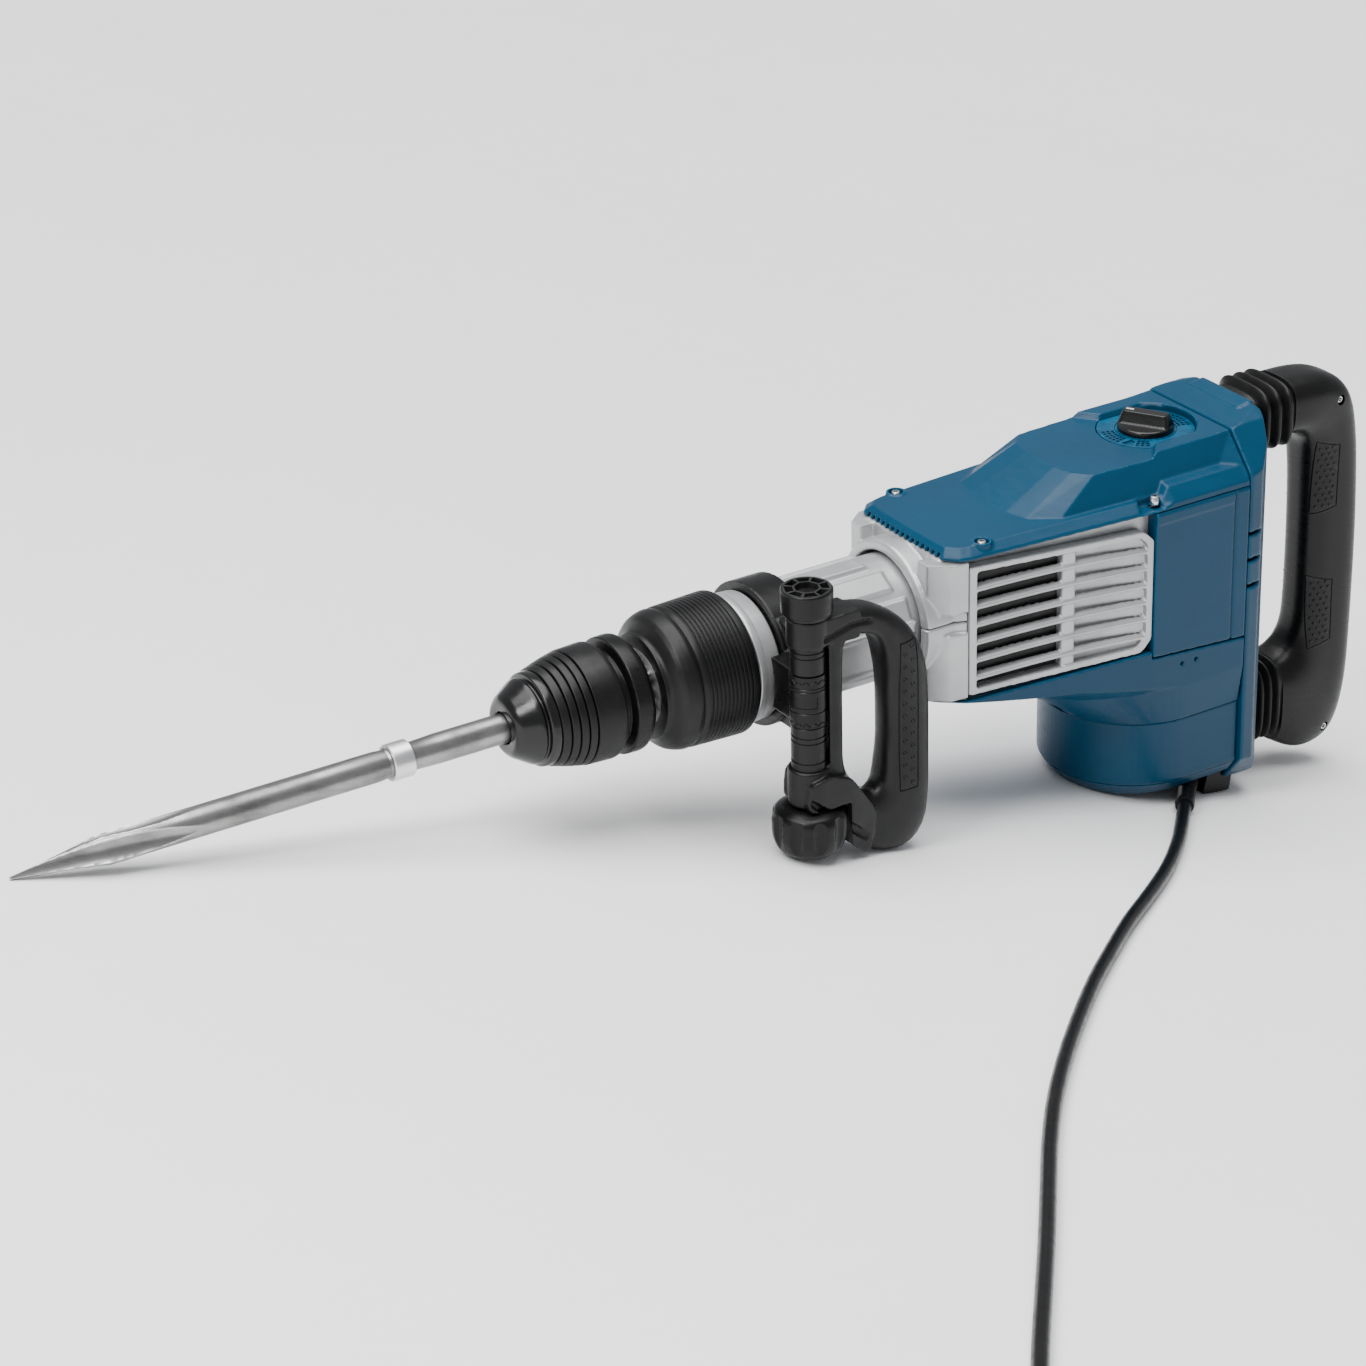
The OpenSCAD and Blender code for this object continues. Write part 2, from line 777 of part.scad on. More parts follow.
cord_route = [[334, -69, 6.2], [313, -92, 5], [290, -116, 4.6], [256, -147, 4.5],
    [218, -177, 4.5], [178, -207, 4.5], [139, -239, 4.5], [99, -273, 4.5], [59, -310, 4.5],
    [20, -348, 4.5], [-18, -388, 4.5], [-54, -430, 4.5], [-89, -474, 4.5], [-124, -518, 4.5],
    [-159, -561, 4.5], [-194, -604, 4.5], [-228, -648, 4.5], [-261, -691, 4.6],
    [-289, -724, 5.2], [-304, -742, 5.7]];
tail_route = [[-256, -845, 33], [-232, -844, 32], [-206, -840, 29], [-182, -833, 25],
    [-160, -823, 21.5], [-140, -811, 19.2], [-122, -798, 18.6]];

function sub3(a, b) = a - b;
function unit(v) = v / norm(v);
function side_of(t) = unit(cross(abs(t[2]) > 0.9 ? [1, 0, 0] : [0, 0, 1], t));

// Tube of radius r swept along points with n sides
module sweep(p, r, n) {
    last = len(p) - 1;
    rings = [for (i = [0 : last]) let (
        t = unit(p[min(i + 1, last)] - p[max(i - 1, 0)]),
        u = side_of(t),
        v = cross(t, u))
        for (j = [0 : n - 1]) p[i] + r * cos(j * 360 / n) * u + r * sin(j * 360 / n) * v];
    sides = [for (i = [0 : last - 1], j = [0 : n - 1], half = [0, 1])
        let (k = (j + 1) % n, a = i * n, b = (i + 1) * n)
        half == 0 ? [a + j, b + j, b + k] : [a + j, b + k, a + k]];
    polyhedron(rings, concat([[for (j = [0 : n - 1]) j]], sides,
        [[for (j = [n - 1 : -1 : 0]) last * n + j]]), convexity = 4);
}

// Smooth curve through the route's points (Catmull-Rom), m steps a span
function curve(p, m) = [
    for (i = [0 : len(p) - 2], s = [0 : m - 1]) let (
        a = p[max(i - 1, 0)], b = p[i], c = p[i + 1], d = p[min(i + 2, len(p) - 1)], t = s / m)
        0.5 * (2 * b + (c - a) * t + (2 * a - 5 * b + 4 * c - d) * t * t
            + (3 * b - a - 3 * c + d) * t * t * t),
    p[len(p) - 1]];

module relief_axis() {
    d = relief_end - relief_start;
    translate(relief_start) rotate([0, acos(d[2] / norm(d)), atan2(d[1], d[0])]) children();
}

module cable_gland() {
    color(black) difference() {
        intersection() {
            resting() across(-44, -4) polygon([[346, -158], [367, -158], [364, -178], [342, -175]]);
            in_world() translate([300, -100, 0.6]) cube([120, 120, 60]);
        }
        in_world() relief_axis() translate([0, 0, -6]) cylinder(r = 7, h = 40);
    }
}

module cord_relief() {
    length = norm(relief_end - relief_start);
    color(black) in_world() relief_axis() translate([0, 0, -5])
        cylinder(r1 = 6.9, r2 = 5.6, h = length + 5);
}

module power_cord() {
    color(black) in_world() {
        sweep(curve(cord_route, 2), cord_r, 10);
        sweep(curve(tail_route, 2), cord_r, 10);
    }
}

module cord_coil() {
    color(black) in_world() translate([coil_c[0], coil_c[1], coil_lift]) rotate_extrude()
        translate([coil_turn_r[0] - cord_r, 0])
            square([coil_turn_r[2] - coil_turn_r[0] + cord_d, coil_layers * cord_d]);
}

module cord_tie() {
    color(rubber) in_world() translate([coil_c[0], coil_c[1], 0]) rotate([0, 0, -120]) difference() {
        translate([coil_turn_r[0] - cord_r - 1.2, -7, 0])
            cube([coil_turn_r[2] - coil_turn_r[0] + cord_d + 2.4, 14, coil_layers * cord_d + 2.4]);
        translate([0, 0, coil_lift]) rotate_extrude() translate([coil_turn_r[0] - cord_r, 0])
            square([coil_turn_r[2] - coil_turn_r[0] + cord_d, coil_layers * cord_d]);
    }
}

module plug() {
    from = tail_route[len(tail_route) - 1];
    color(black) in_world() translate([from[0], from[1], 18.6]) rotate([90, 0, 126]) {
        rotate_extrude() polygon([[0, 0], [7, 0], [9, 12], [16, 20], [18.5, 28], [18.5, 46], [0, 46]]);
        for (s = [-1, 1]) translate([s * 9.5, 0, 46]) cylinder(r = 2.4, h = 19);
    }
}

chisel();
nose_cap();
locking_sleeve();
sleeve_ring();
angle_ring();
tool_holder();
locking_rollers();
front_ring();
barrel_housing();
hammer_tube();
spindle_bearing();
gear_housing_upper();
gear_housing_lower();
side_grille_left();
side_grille_right();
hood();
hood_screws();
main_housing();
pot_screws();
chin_cover();
motor_pot();
pot_cap();
rear_cover();
rear_light();
dial_plate();
power_dial();
striker();
beat_piece();
piston();
wrist_pin();
connecting_rod();
crankshaft();
crank_gear();
crank_bearing();
rotor_shaft();
rotor_core();
commutator();
fan();
stator();
brush_holders();
rotor_bearings();
control_module();
handle_guides();
damper_springs();
rear_grip();
upper_bellows();
lower_bellows();
grip_switch();
handle_screws();
clamp_band();
side_grip();
clamp_bolt();
grip_cap();
clamp_knob();
cable_gland();
cord_relief();
power_cord();
cord_coil();
cord_tie();
plug();
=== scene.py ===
"""Electric demolition hammer: the looks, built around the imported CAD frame.

Shapes are written in the tool's own frame in millimetres: X along the tool axis from the
chisel to the rear handle, Z up the motor axis, origin at the back of the angle ring. The
tool frame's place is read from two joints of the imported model. The cord, its relief, tie
and plug are drawn on the floor instead, and end in the frame's metres.
"""
import math

import bmesh
import bpy
from mathutils import Matrix, Vector
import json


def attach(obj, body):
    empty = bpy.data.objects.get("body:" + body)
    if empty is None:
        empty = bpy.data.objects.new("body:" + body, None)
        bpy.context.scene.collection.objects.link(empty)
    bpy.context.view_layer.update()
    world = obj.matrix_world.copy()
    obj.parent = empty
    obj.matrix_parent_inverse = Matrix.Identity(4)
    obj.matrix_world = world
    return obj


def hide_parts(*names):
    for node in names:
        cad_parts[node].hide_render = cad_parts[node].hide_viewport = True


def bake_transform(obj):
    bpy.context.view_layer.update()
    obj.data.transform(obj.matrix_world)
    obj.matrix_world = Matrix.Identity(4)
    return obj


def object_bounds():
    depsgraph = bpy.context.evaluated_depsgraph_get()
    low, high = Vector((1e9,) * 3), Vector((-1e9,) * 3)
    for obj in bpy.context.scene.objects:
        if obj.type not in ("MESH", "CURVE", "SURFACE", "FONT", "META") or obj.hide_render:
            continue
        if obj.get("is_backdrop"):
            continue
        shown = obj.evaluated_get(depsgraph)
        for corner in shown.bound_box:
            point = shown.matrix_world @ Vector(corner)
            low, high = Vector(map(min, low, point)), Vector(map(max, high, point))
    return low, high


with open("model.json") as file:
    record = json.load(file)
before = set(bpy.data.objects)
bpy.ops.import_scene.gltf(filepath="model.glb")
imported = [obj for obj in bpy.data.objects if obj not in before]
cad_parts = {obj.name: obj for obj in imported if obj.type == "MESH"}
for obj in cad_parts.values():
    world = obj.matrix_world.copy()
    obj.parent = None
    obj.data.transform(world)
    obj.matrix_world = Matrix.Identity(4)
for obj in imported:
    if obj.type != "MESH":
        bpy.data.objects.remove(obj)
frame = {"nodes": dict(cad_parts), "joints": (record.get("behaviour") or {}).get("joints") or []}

CAD_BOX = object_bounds()
JOINTS = {j["name"]: j for j in frame["joints"]}
MM = 0.001


def tool_frame():
    """Matrix from tool millimetres to row metres."""
    x = Vector(JOINTS["angle_ring_turn"]["axis"]).normalized()
    z = Vector(JOINTS["rotor_turn"]["axis"]).normalized()
    rotation = Matrix((x, z.cross(x), z)).transposed().to_4x4()
    return Matrix.Translation(JOINTS["angle_ring_turn"]["pos_m"]) @ rotation @ Matrix.Scale(MM, 4)


TOOL = tool_frame()


def new_object(name, data):
    made = bpy.data.objects.new(name, data)
    bpy.context.scene.collection.objects.link(made)
    return made


# ---- Camera -----------------------------------------------------------------------------
def make_camera():
    data = bpy.data.cameras.new("camera")
    data.lens = 105.8
    data.sensor_width = 36
    data.clip_end = 20
    camera = new_object("camera", data)
    forward = Vector((0.55203, 0.76206, -0.33842))
    right = Vector((0.83150, -0.53342, 0.15517))
    up = right.cross(forward)
    camera.matrix_world = Matrix((right, up, -forward)).transposed().to_4x4()
    camera.location = (-1.36726, -1.8015, 0.89393)
    bpy.context.scene.camera = camera


make_camera()


# ---- Materials --------------------------------------------------------------------------
class Nodes:
    """Short calls for building one material's nodes."""

    def __init__(self, name):
        self.material = bpy.data.materials.new(name)
        self.material.use_nodes = True
        self.tree = self.material.node_tree
        self.shader = self.tree.nodes["Principled BSDF"]
        self.place = self.node("ShaderNodeTexCoord", {}).outputs["Object"]

    def node(self, kind, inputs, **settings):
        """New node; each input is a number, a vector or another node's output."""
        made = self.tree.nodes.new(kind)
        for key, value in settings.items():
            setattr(made, key, value)
        self.feed(made, inputs)
        return made

    def feed(self, node, inputs):
        for key, value in inputs.items():
            if isinstance(value, bpy.types.NodeSocket):
                self.tree.links.new(value, node.inputs[key])
            else:
                node.inputs[key].default_value = value

    def noise(self, scale, detail, roughness=0.55, stretch=(1, 1, 1)):
        mapping = self.node("ShaderNodeMapping", {"Scale": stretch, "Vector": self.place})
        return self.node("ShaderNodeTexNoise", {"Scale": scale, "Detail": detail, "Roughness": roughness,
                                                "Vector": mapping.outputs["Vector"]}).outputs["Fac"]

    def ramp(self, value, *stops):
        """Colour that follows a value between two (value, colour) stops."""
        ramp = self.node("ShaderNodeValToRGB", {"Fac": value})
        for element, (at, colour) in zip(ramp.color_ramp.elements, stops):
            element.position = at
            element.color = (*colour, 1)
        return ramp.outputs["Color"]

    def span(self, value, low, high, to_low, to_high):
        return self.node("ShaderNodeMapRange", {"Value": value, "From Min": low, "From Max": high,
                                                "To Min": to_low, "To Max": to_high}).outputs["Result"]

    def mix(self, factor, a, b):
        b = (*b, 1) if isinstance(b, tuple) else b
        a = (*a, 1) if isinstance(a, tuple) else a
        inputs = {"Factor": factor, "A": a, "B": b}
        return self.node("ShaderNodeMix", inputs, data_type="RGBA").outputs["Result"]

    def edges(self, low=0.52, high=0.58):
        """1 on convex edges, 0 elsewhere."""
        return self.span(self.node("ShaderNodeNewGeometry", {}).outputs["Pointiness"], low, high, 0, 1)

    def multiply(self, a, b):
        return self.node("ShaderNodeMath", {0: a, 1: b}, operation="MULTIPLY").outputs["Value"]

    def bump(self, height, strength, distance, after=None):
        inputs = {"Height": height, "Strength": strength, "Distance": distance}
        if after:
            inputs["Normal"] = after
        return self.node("ShaderNodeBump", inputs).outputs["Normal"]

    def finish(self, colour, rough, normal, **more):
        """Sets the shader up; more's names have _ for a space."""
        self.feed(self.shader, {"Base Color": colour, "Roughness": rough, "Normal": normal})
        self.feed(self.shader, {key.replace("_", " "): value for key, value in more.items()})
        return self.material


def plastic(name, dark, light, edge, roughness, grain=1400.0, grain_depth=0.00005, coat=0.0):
    """Moulded plastic: spark-eroded grain, faint mottling, convex edges painted lighter as rubbed wear and as
    painted highlight, and fine scuffs.
    """
    n = Nodes(name)
    body = n.ramp(n.noise(14, 4), (0.3, dark), (0.7, light))
    # Convex edges painted lighter: partly rubbed wear, partly painted highlight
    edge_wear_and_highlight = n.multiply(n.edges(), n.span(n.noise(90, 4), 0.35, 0.7, 0.25, 1))
    scuffs = n.span(n.noise(60, 6, 0.7, (1, 1, 7)), 0.35, 0.75, roughness - 0.07, roughness + 0.1)
    fine = n.bump(n.noise(grain, 2), 0.55, grain_depth)
    skin = n.bump(n.noise(22, 2), 0.12, 0.0004, fine)
    return n.finish(n.mix(edge_wear_and_highlight, body, edge), scuffs, skin, Coat_Weight=coat, Coat_Roughness=0.25,
                    Specular_IOR_Level=0.22)


def rubber(name, dark, light, roughness):
    """Soft-touch rubber: fine pores, and dusty in random patches."""
    n = Nodes(name)
    dusty = n.mix(n.span(n.noise(45, 5), 0.45, 0.75, 0, 0.6), dark, light)
    rough = n.span(n.noise(120, 4), 0.3, 0.7, roughness - 0.06, roughness + 0.08)
    pores = n.bump(n.noise(2600, 2), 0.5, 0.00004)
    return n.finish(dusty, rough, n.bump(n.noise(260, 3), 0.18, 0.0001, pores), Specular_IOR_Level=0.26)


def cast_paint(name):
    """Silver-grey satin paint over a sand-cast surface."""
    n = Nodes(name)
    body = n.ramp(n.noise(30, 5), (0.3, (0.38, 0.385, 0.39)), (0.72, (0.47, 0.475, 0.48)))
    sparkle = n.mix(n.span(n.noise(5200, 1), 0.62, 0.75, 0, 0.35), body, (0.86, 0.87, 0.88))
    # Painted shade: concave hollows mixed towards dark grey
    hollow_shade = n.multiply(n.edges(0.49, 0.44), 0.55)
    skin = n.bump(n.noise(900, 3), 0.35, 0.00006)
    return n.finish(n.mix(hollow_shade, sparkle, (0.30, 0.30, 0.31)), n.span(n.noise(80, 5), 0.3, 0.7, 0.3, 0.44),
                    n.bump(n.noise(120, 3), 0.25, 0.00025, skin), Metallic=0.6)


def steel(name, dark, light, roughness, stretch=(1, 1, 1)):
    """Bare steel: drawn or turned streaks, dull patches, and convex edges painted bright as wear and as
    painted highlight.
    """
    n = Nodes(name)
    streaks = n.noise(300, 5, 0.6, stretch)
    patches = n.noise(38, 6)
    body = n.ramp(patches, (0.3, dark), (0.72, light))
    body = n.mix(n.span(streaks, 0.4, 0.7, 0, 0.45), body, light)
    # Convex edges painted near-white: partly wear, partly painted highlight
    edge_wear_and_highlight = n.mix(n.multiply(n.edges(0.51, 0.56), 0.8), body, (0.86, 0.86, 0.86))
    fine = n.bump(streaks, 0.3, 0.00005)
    return n.finish(edge_wear_and_highlight, n.span(patches, 0.3, 0.7, roughness + 0.1, roughness - 0.05),
                    n.bump(n.noise(420, 4), 0.25, 0.00008, fine), Metallic=1.0, Anisotropic=0.35)


def copper():
    n = Nodes("copper")
    return n.finish(n.ramp(n.noise(160, 4), (0.3, (0.45, 0.20, 0.10)), (0.7, (0.72, 0.36, 0.19))),
                    n.span(n.noise(90, 4), 0.3, 0.7, 0.25, 0.45), n.bump(n.noise(500, 3), 0.3, 0.00005),
                    Metallic=1.0)


def lamp_lens():
    n = Nodes("clear_lens")
    return n.finish(n.ramp(n.noise(300, 3), (0.3, (0.78, 0.80, 0.78)), (0.7, (0.95, 0.96, 0.94))),
                    n.span(n.noise(500, 3), 0.3, 0.7, 0.08, 0.16), n.bump(n.noise(700, 2), 0.2, 0.00004),
                    Transmission_Weight=0.35, IOR=1.49)


def laminated_iron():
    """Stacked electrical sheets: thin lines across the stack."""
    n = Nodes("laminated_iron")
    sheets = n.noise(1500, 2, 0.5, (0.12, 0.12, 1))
    return n.finish(n.ramp(sheets, (0.35, (0.10, 0.10, 0.11)), (0.65, (0.30, 0.30, 0.32))),
                    n.span(n.noise(80, 4), 0.3, 0.7, 0.35, 0.55), n.bump(sheets, 0.6, 0.0001), Metallic=0.9)


def pale_floor():
    n = Nodes("floor")
    return n.finish(n.ramp(n.noise(3, 4), (0.3, (0.88, 0.88, 0.88)), (0.7, (0.90, 0.90, 0.90))),
                    n.span(n.noise(30, 4), 0.3, 0.7, 0.55, 0.65), n.bump(n.noise(500, 3), 0.05, 0.0001))


BLUE = plastic("blue_plastic", (0.0, 0.034, 0.074), (0.0, 0.041, 0.088), (0.0, 0.09, 0.18), 0.36)
BLACK = plastic("black_plastic", (0.002,) * 3, (0.004,) * 3, (0.02,) * 3, 0.33)
GLOSS = plastic("gloss_black", (0.002,) * 3, (0.003,) * 3, (0.02,) * 3, 0.2, 3000.0, 0.00001, 0.3)
RUBBER = rubber("black_rubber", (0.0025,) * 3, (0.007,) * 3, 0.38)
CORD_RUBBER = rubber("cord_rubber", (0.0025,) * 3, (0.006,) * 3, 0.34)
DARK_STEEL = steel("phosphated_steel", (0.02,) * 3, (0.05,) * 3, 0.4)
SILVER = cast_paint("silver_metal")
CHISEL = steel("forged_steel", (0.12, 0.118, 0.115), (0.34, 0.335, 0.33), 0.32, (0.15, 1, 1))
BRIGHT = steel("bright_steel", (0.50, 0.50, 0.51), (0.72, 0.72, 0.73), 0.24)
ALUMINIUM = steel("cast_aluminium", (0.55, 0.56, 0.57), (0.74, 0.75, 0.76), 0.34)
COPPER = copper()
IRON = laminated_iron()
LENS = lamp_lens()


# ---- Mesh tools -------------------------------------------------------------------------
def from_bmesh(name, bm):
    bmesh.ops.recalc_face_normals(bm, faces=bm.faces[:])
    mesh = bpy.data.meshes.new(name)
    bm.to_mesh(mesh)
    bm.free()
    return new_object(name, mesh)


def grid(name, rings, closed_ends=True):
    """Closed skin through rings of points; every ring has the same count."""
    bm = bmesh.new()
    rows = [[bm.verts.new(p) for p in ring] for ring in rings]
    count = len(rings[0])
    for a, b in zip(rows, rows[1:]):
        for i in range(count):
            bm.faces.new((a[i], a[(i + 1) % count], b[(i + 1) % count], b[i]))
    if closed_ends:
        bm.faces.new(rows[0][::-1])
        bm.faces.new(rows[-1])
    else:
        for i in range(count):
            a, b = rows[-1], rows[0]
            bm.faces.new((a[i], a[(i + 1) % count], b[(i + 1) % count], b[i]))
    return from_bmesh(name, bm)


def place(axis, along, u, v):
    """Point of an outline drawn in the plane across an axis: (x, z), (x, y) or (y, z)."""
    return {"y": (u, along, v), "z": (u, v, along), "x": (along, u, v)}[axis]


def loft(axis, sections):
    """Solid through outlines at places along an axis: sections are (along, outline)."""
    return grid("loft", [[place(axis, at, *p) for p in outline] for at, outline in sections])


def prism(axis, low, high, outline):
    return loft(axis, [(low, outline), (high, outline)])


def oblong(x0, y0, x1, y1):
    return [(x0, y0), (x1, y0), (x1, y1), (x0, y1)]


def block(x0, y0, z0, x1, y1, z1):
    return prism("z", z0, z1, oblong(x0, y0, x1, y1))


def polar(r, angle, cx=0, cy=0):
    """Point at a distance and an angle from a centre."""
    return cx + r * math.cos(angle), cy + r * math.sin(angle)


def arc(cx, cy, r, start, end, steps):
    turn = [math.radians(start + (end - start) * i / steps) for i in range(steps + 1)]
    return [polar(r, a, cx, cy) for a in turn]


def rounded(outline, radius, steps):
    """Outline with its corners rounded."""
    made = []
    count = len(outline)
    for i, corner in enumerate(outline):
        p, a, b = (Vector(outline[j % count]) for j in (i, i - 1, i + 1))
        back, on = (a - p), (b - p)
        reach = min(radius, 0.48 * back.length, 0.48 * on.length)
        if reach < 1e-4:
            made.append(tuple(corner))
            continue
        start, end = p + back.normalized() * reach, p + on.normalized() * reach
        for s in range(steps + 1):
            t = s / steps
            made.append(tuple(start * (1 - t) ** 2 + p * 2 * t * (1 - t) + end * t ** 2))
    return made


def angles(count):
    return [2 * math.pi * i / count for i in range(count)]


def turned(profile, origin=(0, 0, 0), axis="x", steps=128):
    """Solid of revolution; the closed profile's points are (along, radius)."""
    bm = bmesh.new()
    rings = []
    for a in angles(steps):
        ring = []
        for along, r in profile:
            c, s = polar(r, a)
            at = (along, c, s) if axis == "x" else (c, s, along)
            ring.append(bm.verts.new(Vector(at) + Vector(origin)))
        rings.append(ring)
    count = len(profile)
    for i in range(steps):
        a, b = rings[i], rings[(i + 1) % steps]
        for j in range(count):
            bm.faces.new((a[j], b[j], b[(j + 1) % count], a[(j + 1) % count]))
    bmesh.ops.remove_doubles(bm, verts=bm.verts[:], dist=1e-4)
    bmesh.ops.dissolve_degenerate(bm, edges=bm.edges[:], dist=1e-5)
    return from_bmesh("turned", bm)


def disc(x, y, z0, z1, r, steps=64, axis="z"):
    """Cylinder along an axis; x and y are its place across that axis."""
    outline = arc(x, y, r, 0, 360 * (1 - 1 / steps), steps - 1)
    return prism(axis, z0, z1, outline)


def along_x(x0, x1, r, y=0, z=0, steps=96):
    return disc(y, z, x0, x1, r, steps, "x")


def cad(node):
    """Copy of a CAD node's mesh, welded, in tool millimetres."""
    bm = bmesh.new()
    bm.from_mesh(frame["nodes"][node].data)
    bmesh.ops.remove_doubles(bm, verts=bm.verts[:], dist=1e-6)
    bm.transform(TOOL.inverted())
    return from_bmesh(node, bm)


def bake(obj):
    """Applies an object's modifiers to its mesh."""
    evaluated = obj.evaluated_get(bpy.context.evaluated_depsgraph_get())
    mesh = bpy.data.meshes.new_from_object(evaluated)
    obj.modifiers.clear()
    obj.data = mesh
    return obj


def joined(parts):
    """One object that holds every part's mesh."""
    bm = bmesh.new()
    for part in parts:
        bm.from_mesh(part.data)
        bpy.data.objects.remove(part)
    mesh = bpy.data.meshes.new("joined")
    bm.to_mesh(mesh)
    bm.free()
    return new_object("joined", mesh)


def volume(mesh):
    bm = bmesh.new()
    bm.from_mesh(mesh)
    found = bm.calc_volume()
    bm.free()
    return found


SOLVERS = ("MANIFOLD", "EXACT", "FAST")


def boolean(obj, other, operation):
    """Cuts, meets or adds other, nudging it a hair when the exact solver loses the shape."""
    start = obj.data
    least = volume(start) - volume(other.data) - 1
    for attempt in range(5):
        obj.data = start
        other.location = Vector((0.004, 0.007, 0.003)) * attempt
        modifier = obj.modifiers.new("boolean", "BOOLEAN")
        modifier.operation = operation
        modifier.solver = SOLVERS[min(attempt, 2)]
        modifier.object = other
        bpy.context.view_layer.update()
        bake(obj)
        if operation != "DIFFERENCE" or volume(obj.data) >= least:
            break
    bpy.data.objects.remove(other)
    return obj


def cut(obj, cutters):
    """Takes each cutter's volume out of obj."""
    for cutter in cutters:
        boolean(obj, cutter, "DIFFERENCE")
    return obj


def copies(parts):
    return [new_object("copy", part.data.copy()) for part in parts]


def moulded(parts, cutters, voxel, smooth, keep):
    """Parts joined into one skin with soft edges, as a moulded or cast piece has."""
    shapes = [cut(part, copies(cutters)) for part in parts]
    for cutter in cutters:
        bpy.data.objects.remove(cutter)
    obj = joined(shapes)
    remesh = obj.modifiers.new("skin", "REMESH")
    remesh.mode = "VOXEL"
    remesh.voxel_size = voxel
    soften = obj.modifiers.new("soften", "SMOOTH")
    soften.iterations = smooth
    thin = obj.modifiers.new("thin", "DECIMATE")
    thin.ratio = keep
    return bake(obj)


def bevelled(obj, width, segments, angle):
    flat = obj.modifiers.new("flat", "DECIMATE")
    flat.decimate_type = "DISSOLVE"
    flat.angle_limit = math.radians(1)
    bevel = obj.modifiers.new("bevel", "BEVEL")
    bevel.width = width
    bevel.segments = segments
    bevel.angle_limit = math.radians(angle)
    return bake(obj)


def shaded(obj, angle):
    for polygon in obj.data.polygons:
        polygon.use_smooth = True
    obj.data.set_sharp_from_angle(angle=math.radians(angle))


def facing(direction):
    """Turns +Z to a direction."""
    return direction.to_track_quat("Z", "Y").to_matrix().to_4x4()


def piece(name, obj, body, material, nodes=(), angle=40, slot=None, in_tool=True):
    """Names a finished mesh, gives it its material and sets it on its body.

    The slot argument is not used: it is worked out as the material's name, without the number Blender adds,
    unless another is given, but not stored anywhere.
    """
    if in_tool:
        obj.data.transform(TOOL)
    obj.name = name
    obj.data.name = name
    obj.data.materials.clear()
    obj.data.materials.append(material)
    shaded(obj, angle)
    if body:
        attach(obj, body)
    slot = slot or material.name.split(".")[0]
    if nodes:
        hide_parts(*nodes)
    return obj


def smooth_curve(points, steps):
    """Catmull-Rom curve through points, with steps spans between each two."""
    p = [Vector(q) for q in points]
    made = []
    for i in range(len(p) - 1):
        a, b, c, d = p[max(i - 1, 0)], p[i], p[i + 1], p[min(i + 2, len(p) - 1)]
        for s in range(steps):
            t = s / steps
            made.append(0.5 * (2 * b + (c - a) * t + (2 * a - 5 * b + 4 * c - d) * t ** 2
                               + (3 * b - a - 3 * c + d) * t ** 3))
    return made + [p[-1]]


# ---- Cord, strain relief, tie and plug --------------------------------------------------
# Cord places are in millimetres on the floor, before the shift that the CAD gives the whole model
CENTRE = Vector((-30.4, 15.5, 0))
CORD_D = 9
RELIEF_START = Vector((374, -25, 8))
RELIEF_END = Vector((334, -69, 6.2))
COIL_C = Vector((-256, -784, 0))
TURN_R = [43, 52, 61]
LAYERS = 4
COIL_LIFT = 1.2
CORD_ROUTE = [(334, -69, 6.2), (313, -92, 5), (290, -116, 4.6), (256, -147, 4.5),
              (218, -177, 4.5), (178, -207, 4.5), (139, -239, 4.5), (99, -273, 4.5), (59, -310, 4.5),
              (20, -348, 4.5), (-18, -388, 4.5), (-54, -430, 4.5), (-89, -474, 4.5), (-124, -518, 4.5),
              (-159, -561, 4.5), (-194, -604, 4.5), (-228, -648, 4.5), (-261, -691, 4.6),
              (-289, -724, 5.2), (-304, -742, 5.7)]
TAIL_ROUTE = [(-256, -845, 33), (-232, -844, 32), (-206, -840, 29), (-182, -833, 25),
              (-160, -823, 21.5), (-140, -811, 19.2), (-122, -798, 18.6)]
COIL_START = 150
COIL_END = 270


def ease(t):
    t = min(max(t, 0), 1)
    return t * t * (3 - 2 * t)


def coil_points():
    """Turns laid side by side, inwards on one layer and outwards on the next."""
    turns = []
    for layer in range(LAYERS):
        for r in (TURN_R[::-1] if layer % 2 == 0 else TURN_R):
            turns.append((r, COIL_LIFT + CORD_D * (layer + 0.5)))
    step = 10
    total = 360 * (len(turns) - 1) + COIL_END - COIL_START
    made = []
    for swept in range(step, total, step):
        turn, phase = divmod(swept, 360)
        r, z = turns[turn]
        next_r, next_z = turns[min(turn + 1, len(turns) - 1)]
        z += (next_z - z) * ease((phase - 110) / 90)
        r += (next_r - r) * ease((phase - 205) / 150)
        a = math.radians(COIL_START + swept)
        made.append(COIL_C + Vector((*polar(r, a), z)))
    return made


def world_lathe(profile, start, direction, steps=64):
    """Solid of revolution whose axis starts at a world place, in millimetres."""
    obj = turned(profile, (0, 0, 0), "z", steps)
    obj.data.transform(Matrix.Scale(MM, 4) @ Matrix.Translation(start + CENTRE) @ facing(direction))
    return obj


def make_relief():
    length = (RELIEF_END - RELIEF_START).length
    profile = [(-5, 4.6), (-5, 6.6), (2, 6.6)]
    ribs = 7
    for i in range(ribs):
        x = 8 + i * 4.4
        r = 6.65 - 0.9 * x / length
        profile += [(x, r), (x + 0.5, r - 0.7), (x + 1.5, r - 0.7), (x + 2, r)]
    profile += [(length - 9, 5.85), (length - 8, 6.3), (length - 1, 6.2), (length, 5.8), (length, 4.6)]
    obj = world_lathe(profile, RELIEF_START, (RELIEF_END - RELIEF_START).normalized())
    return piece("strain_relief", obj, "frame", CORD_RUBBER, ["cord_relief"], 30, "black_rubber", False)


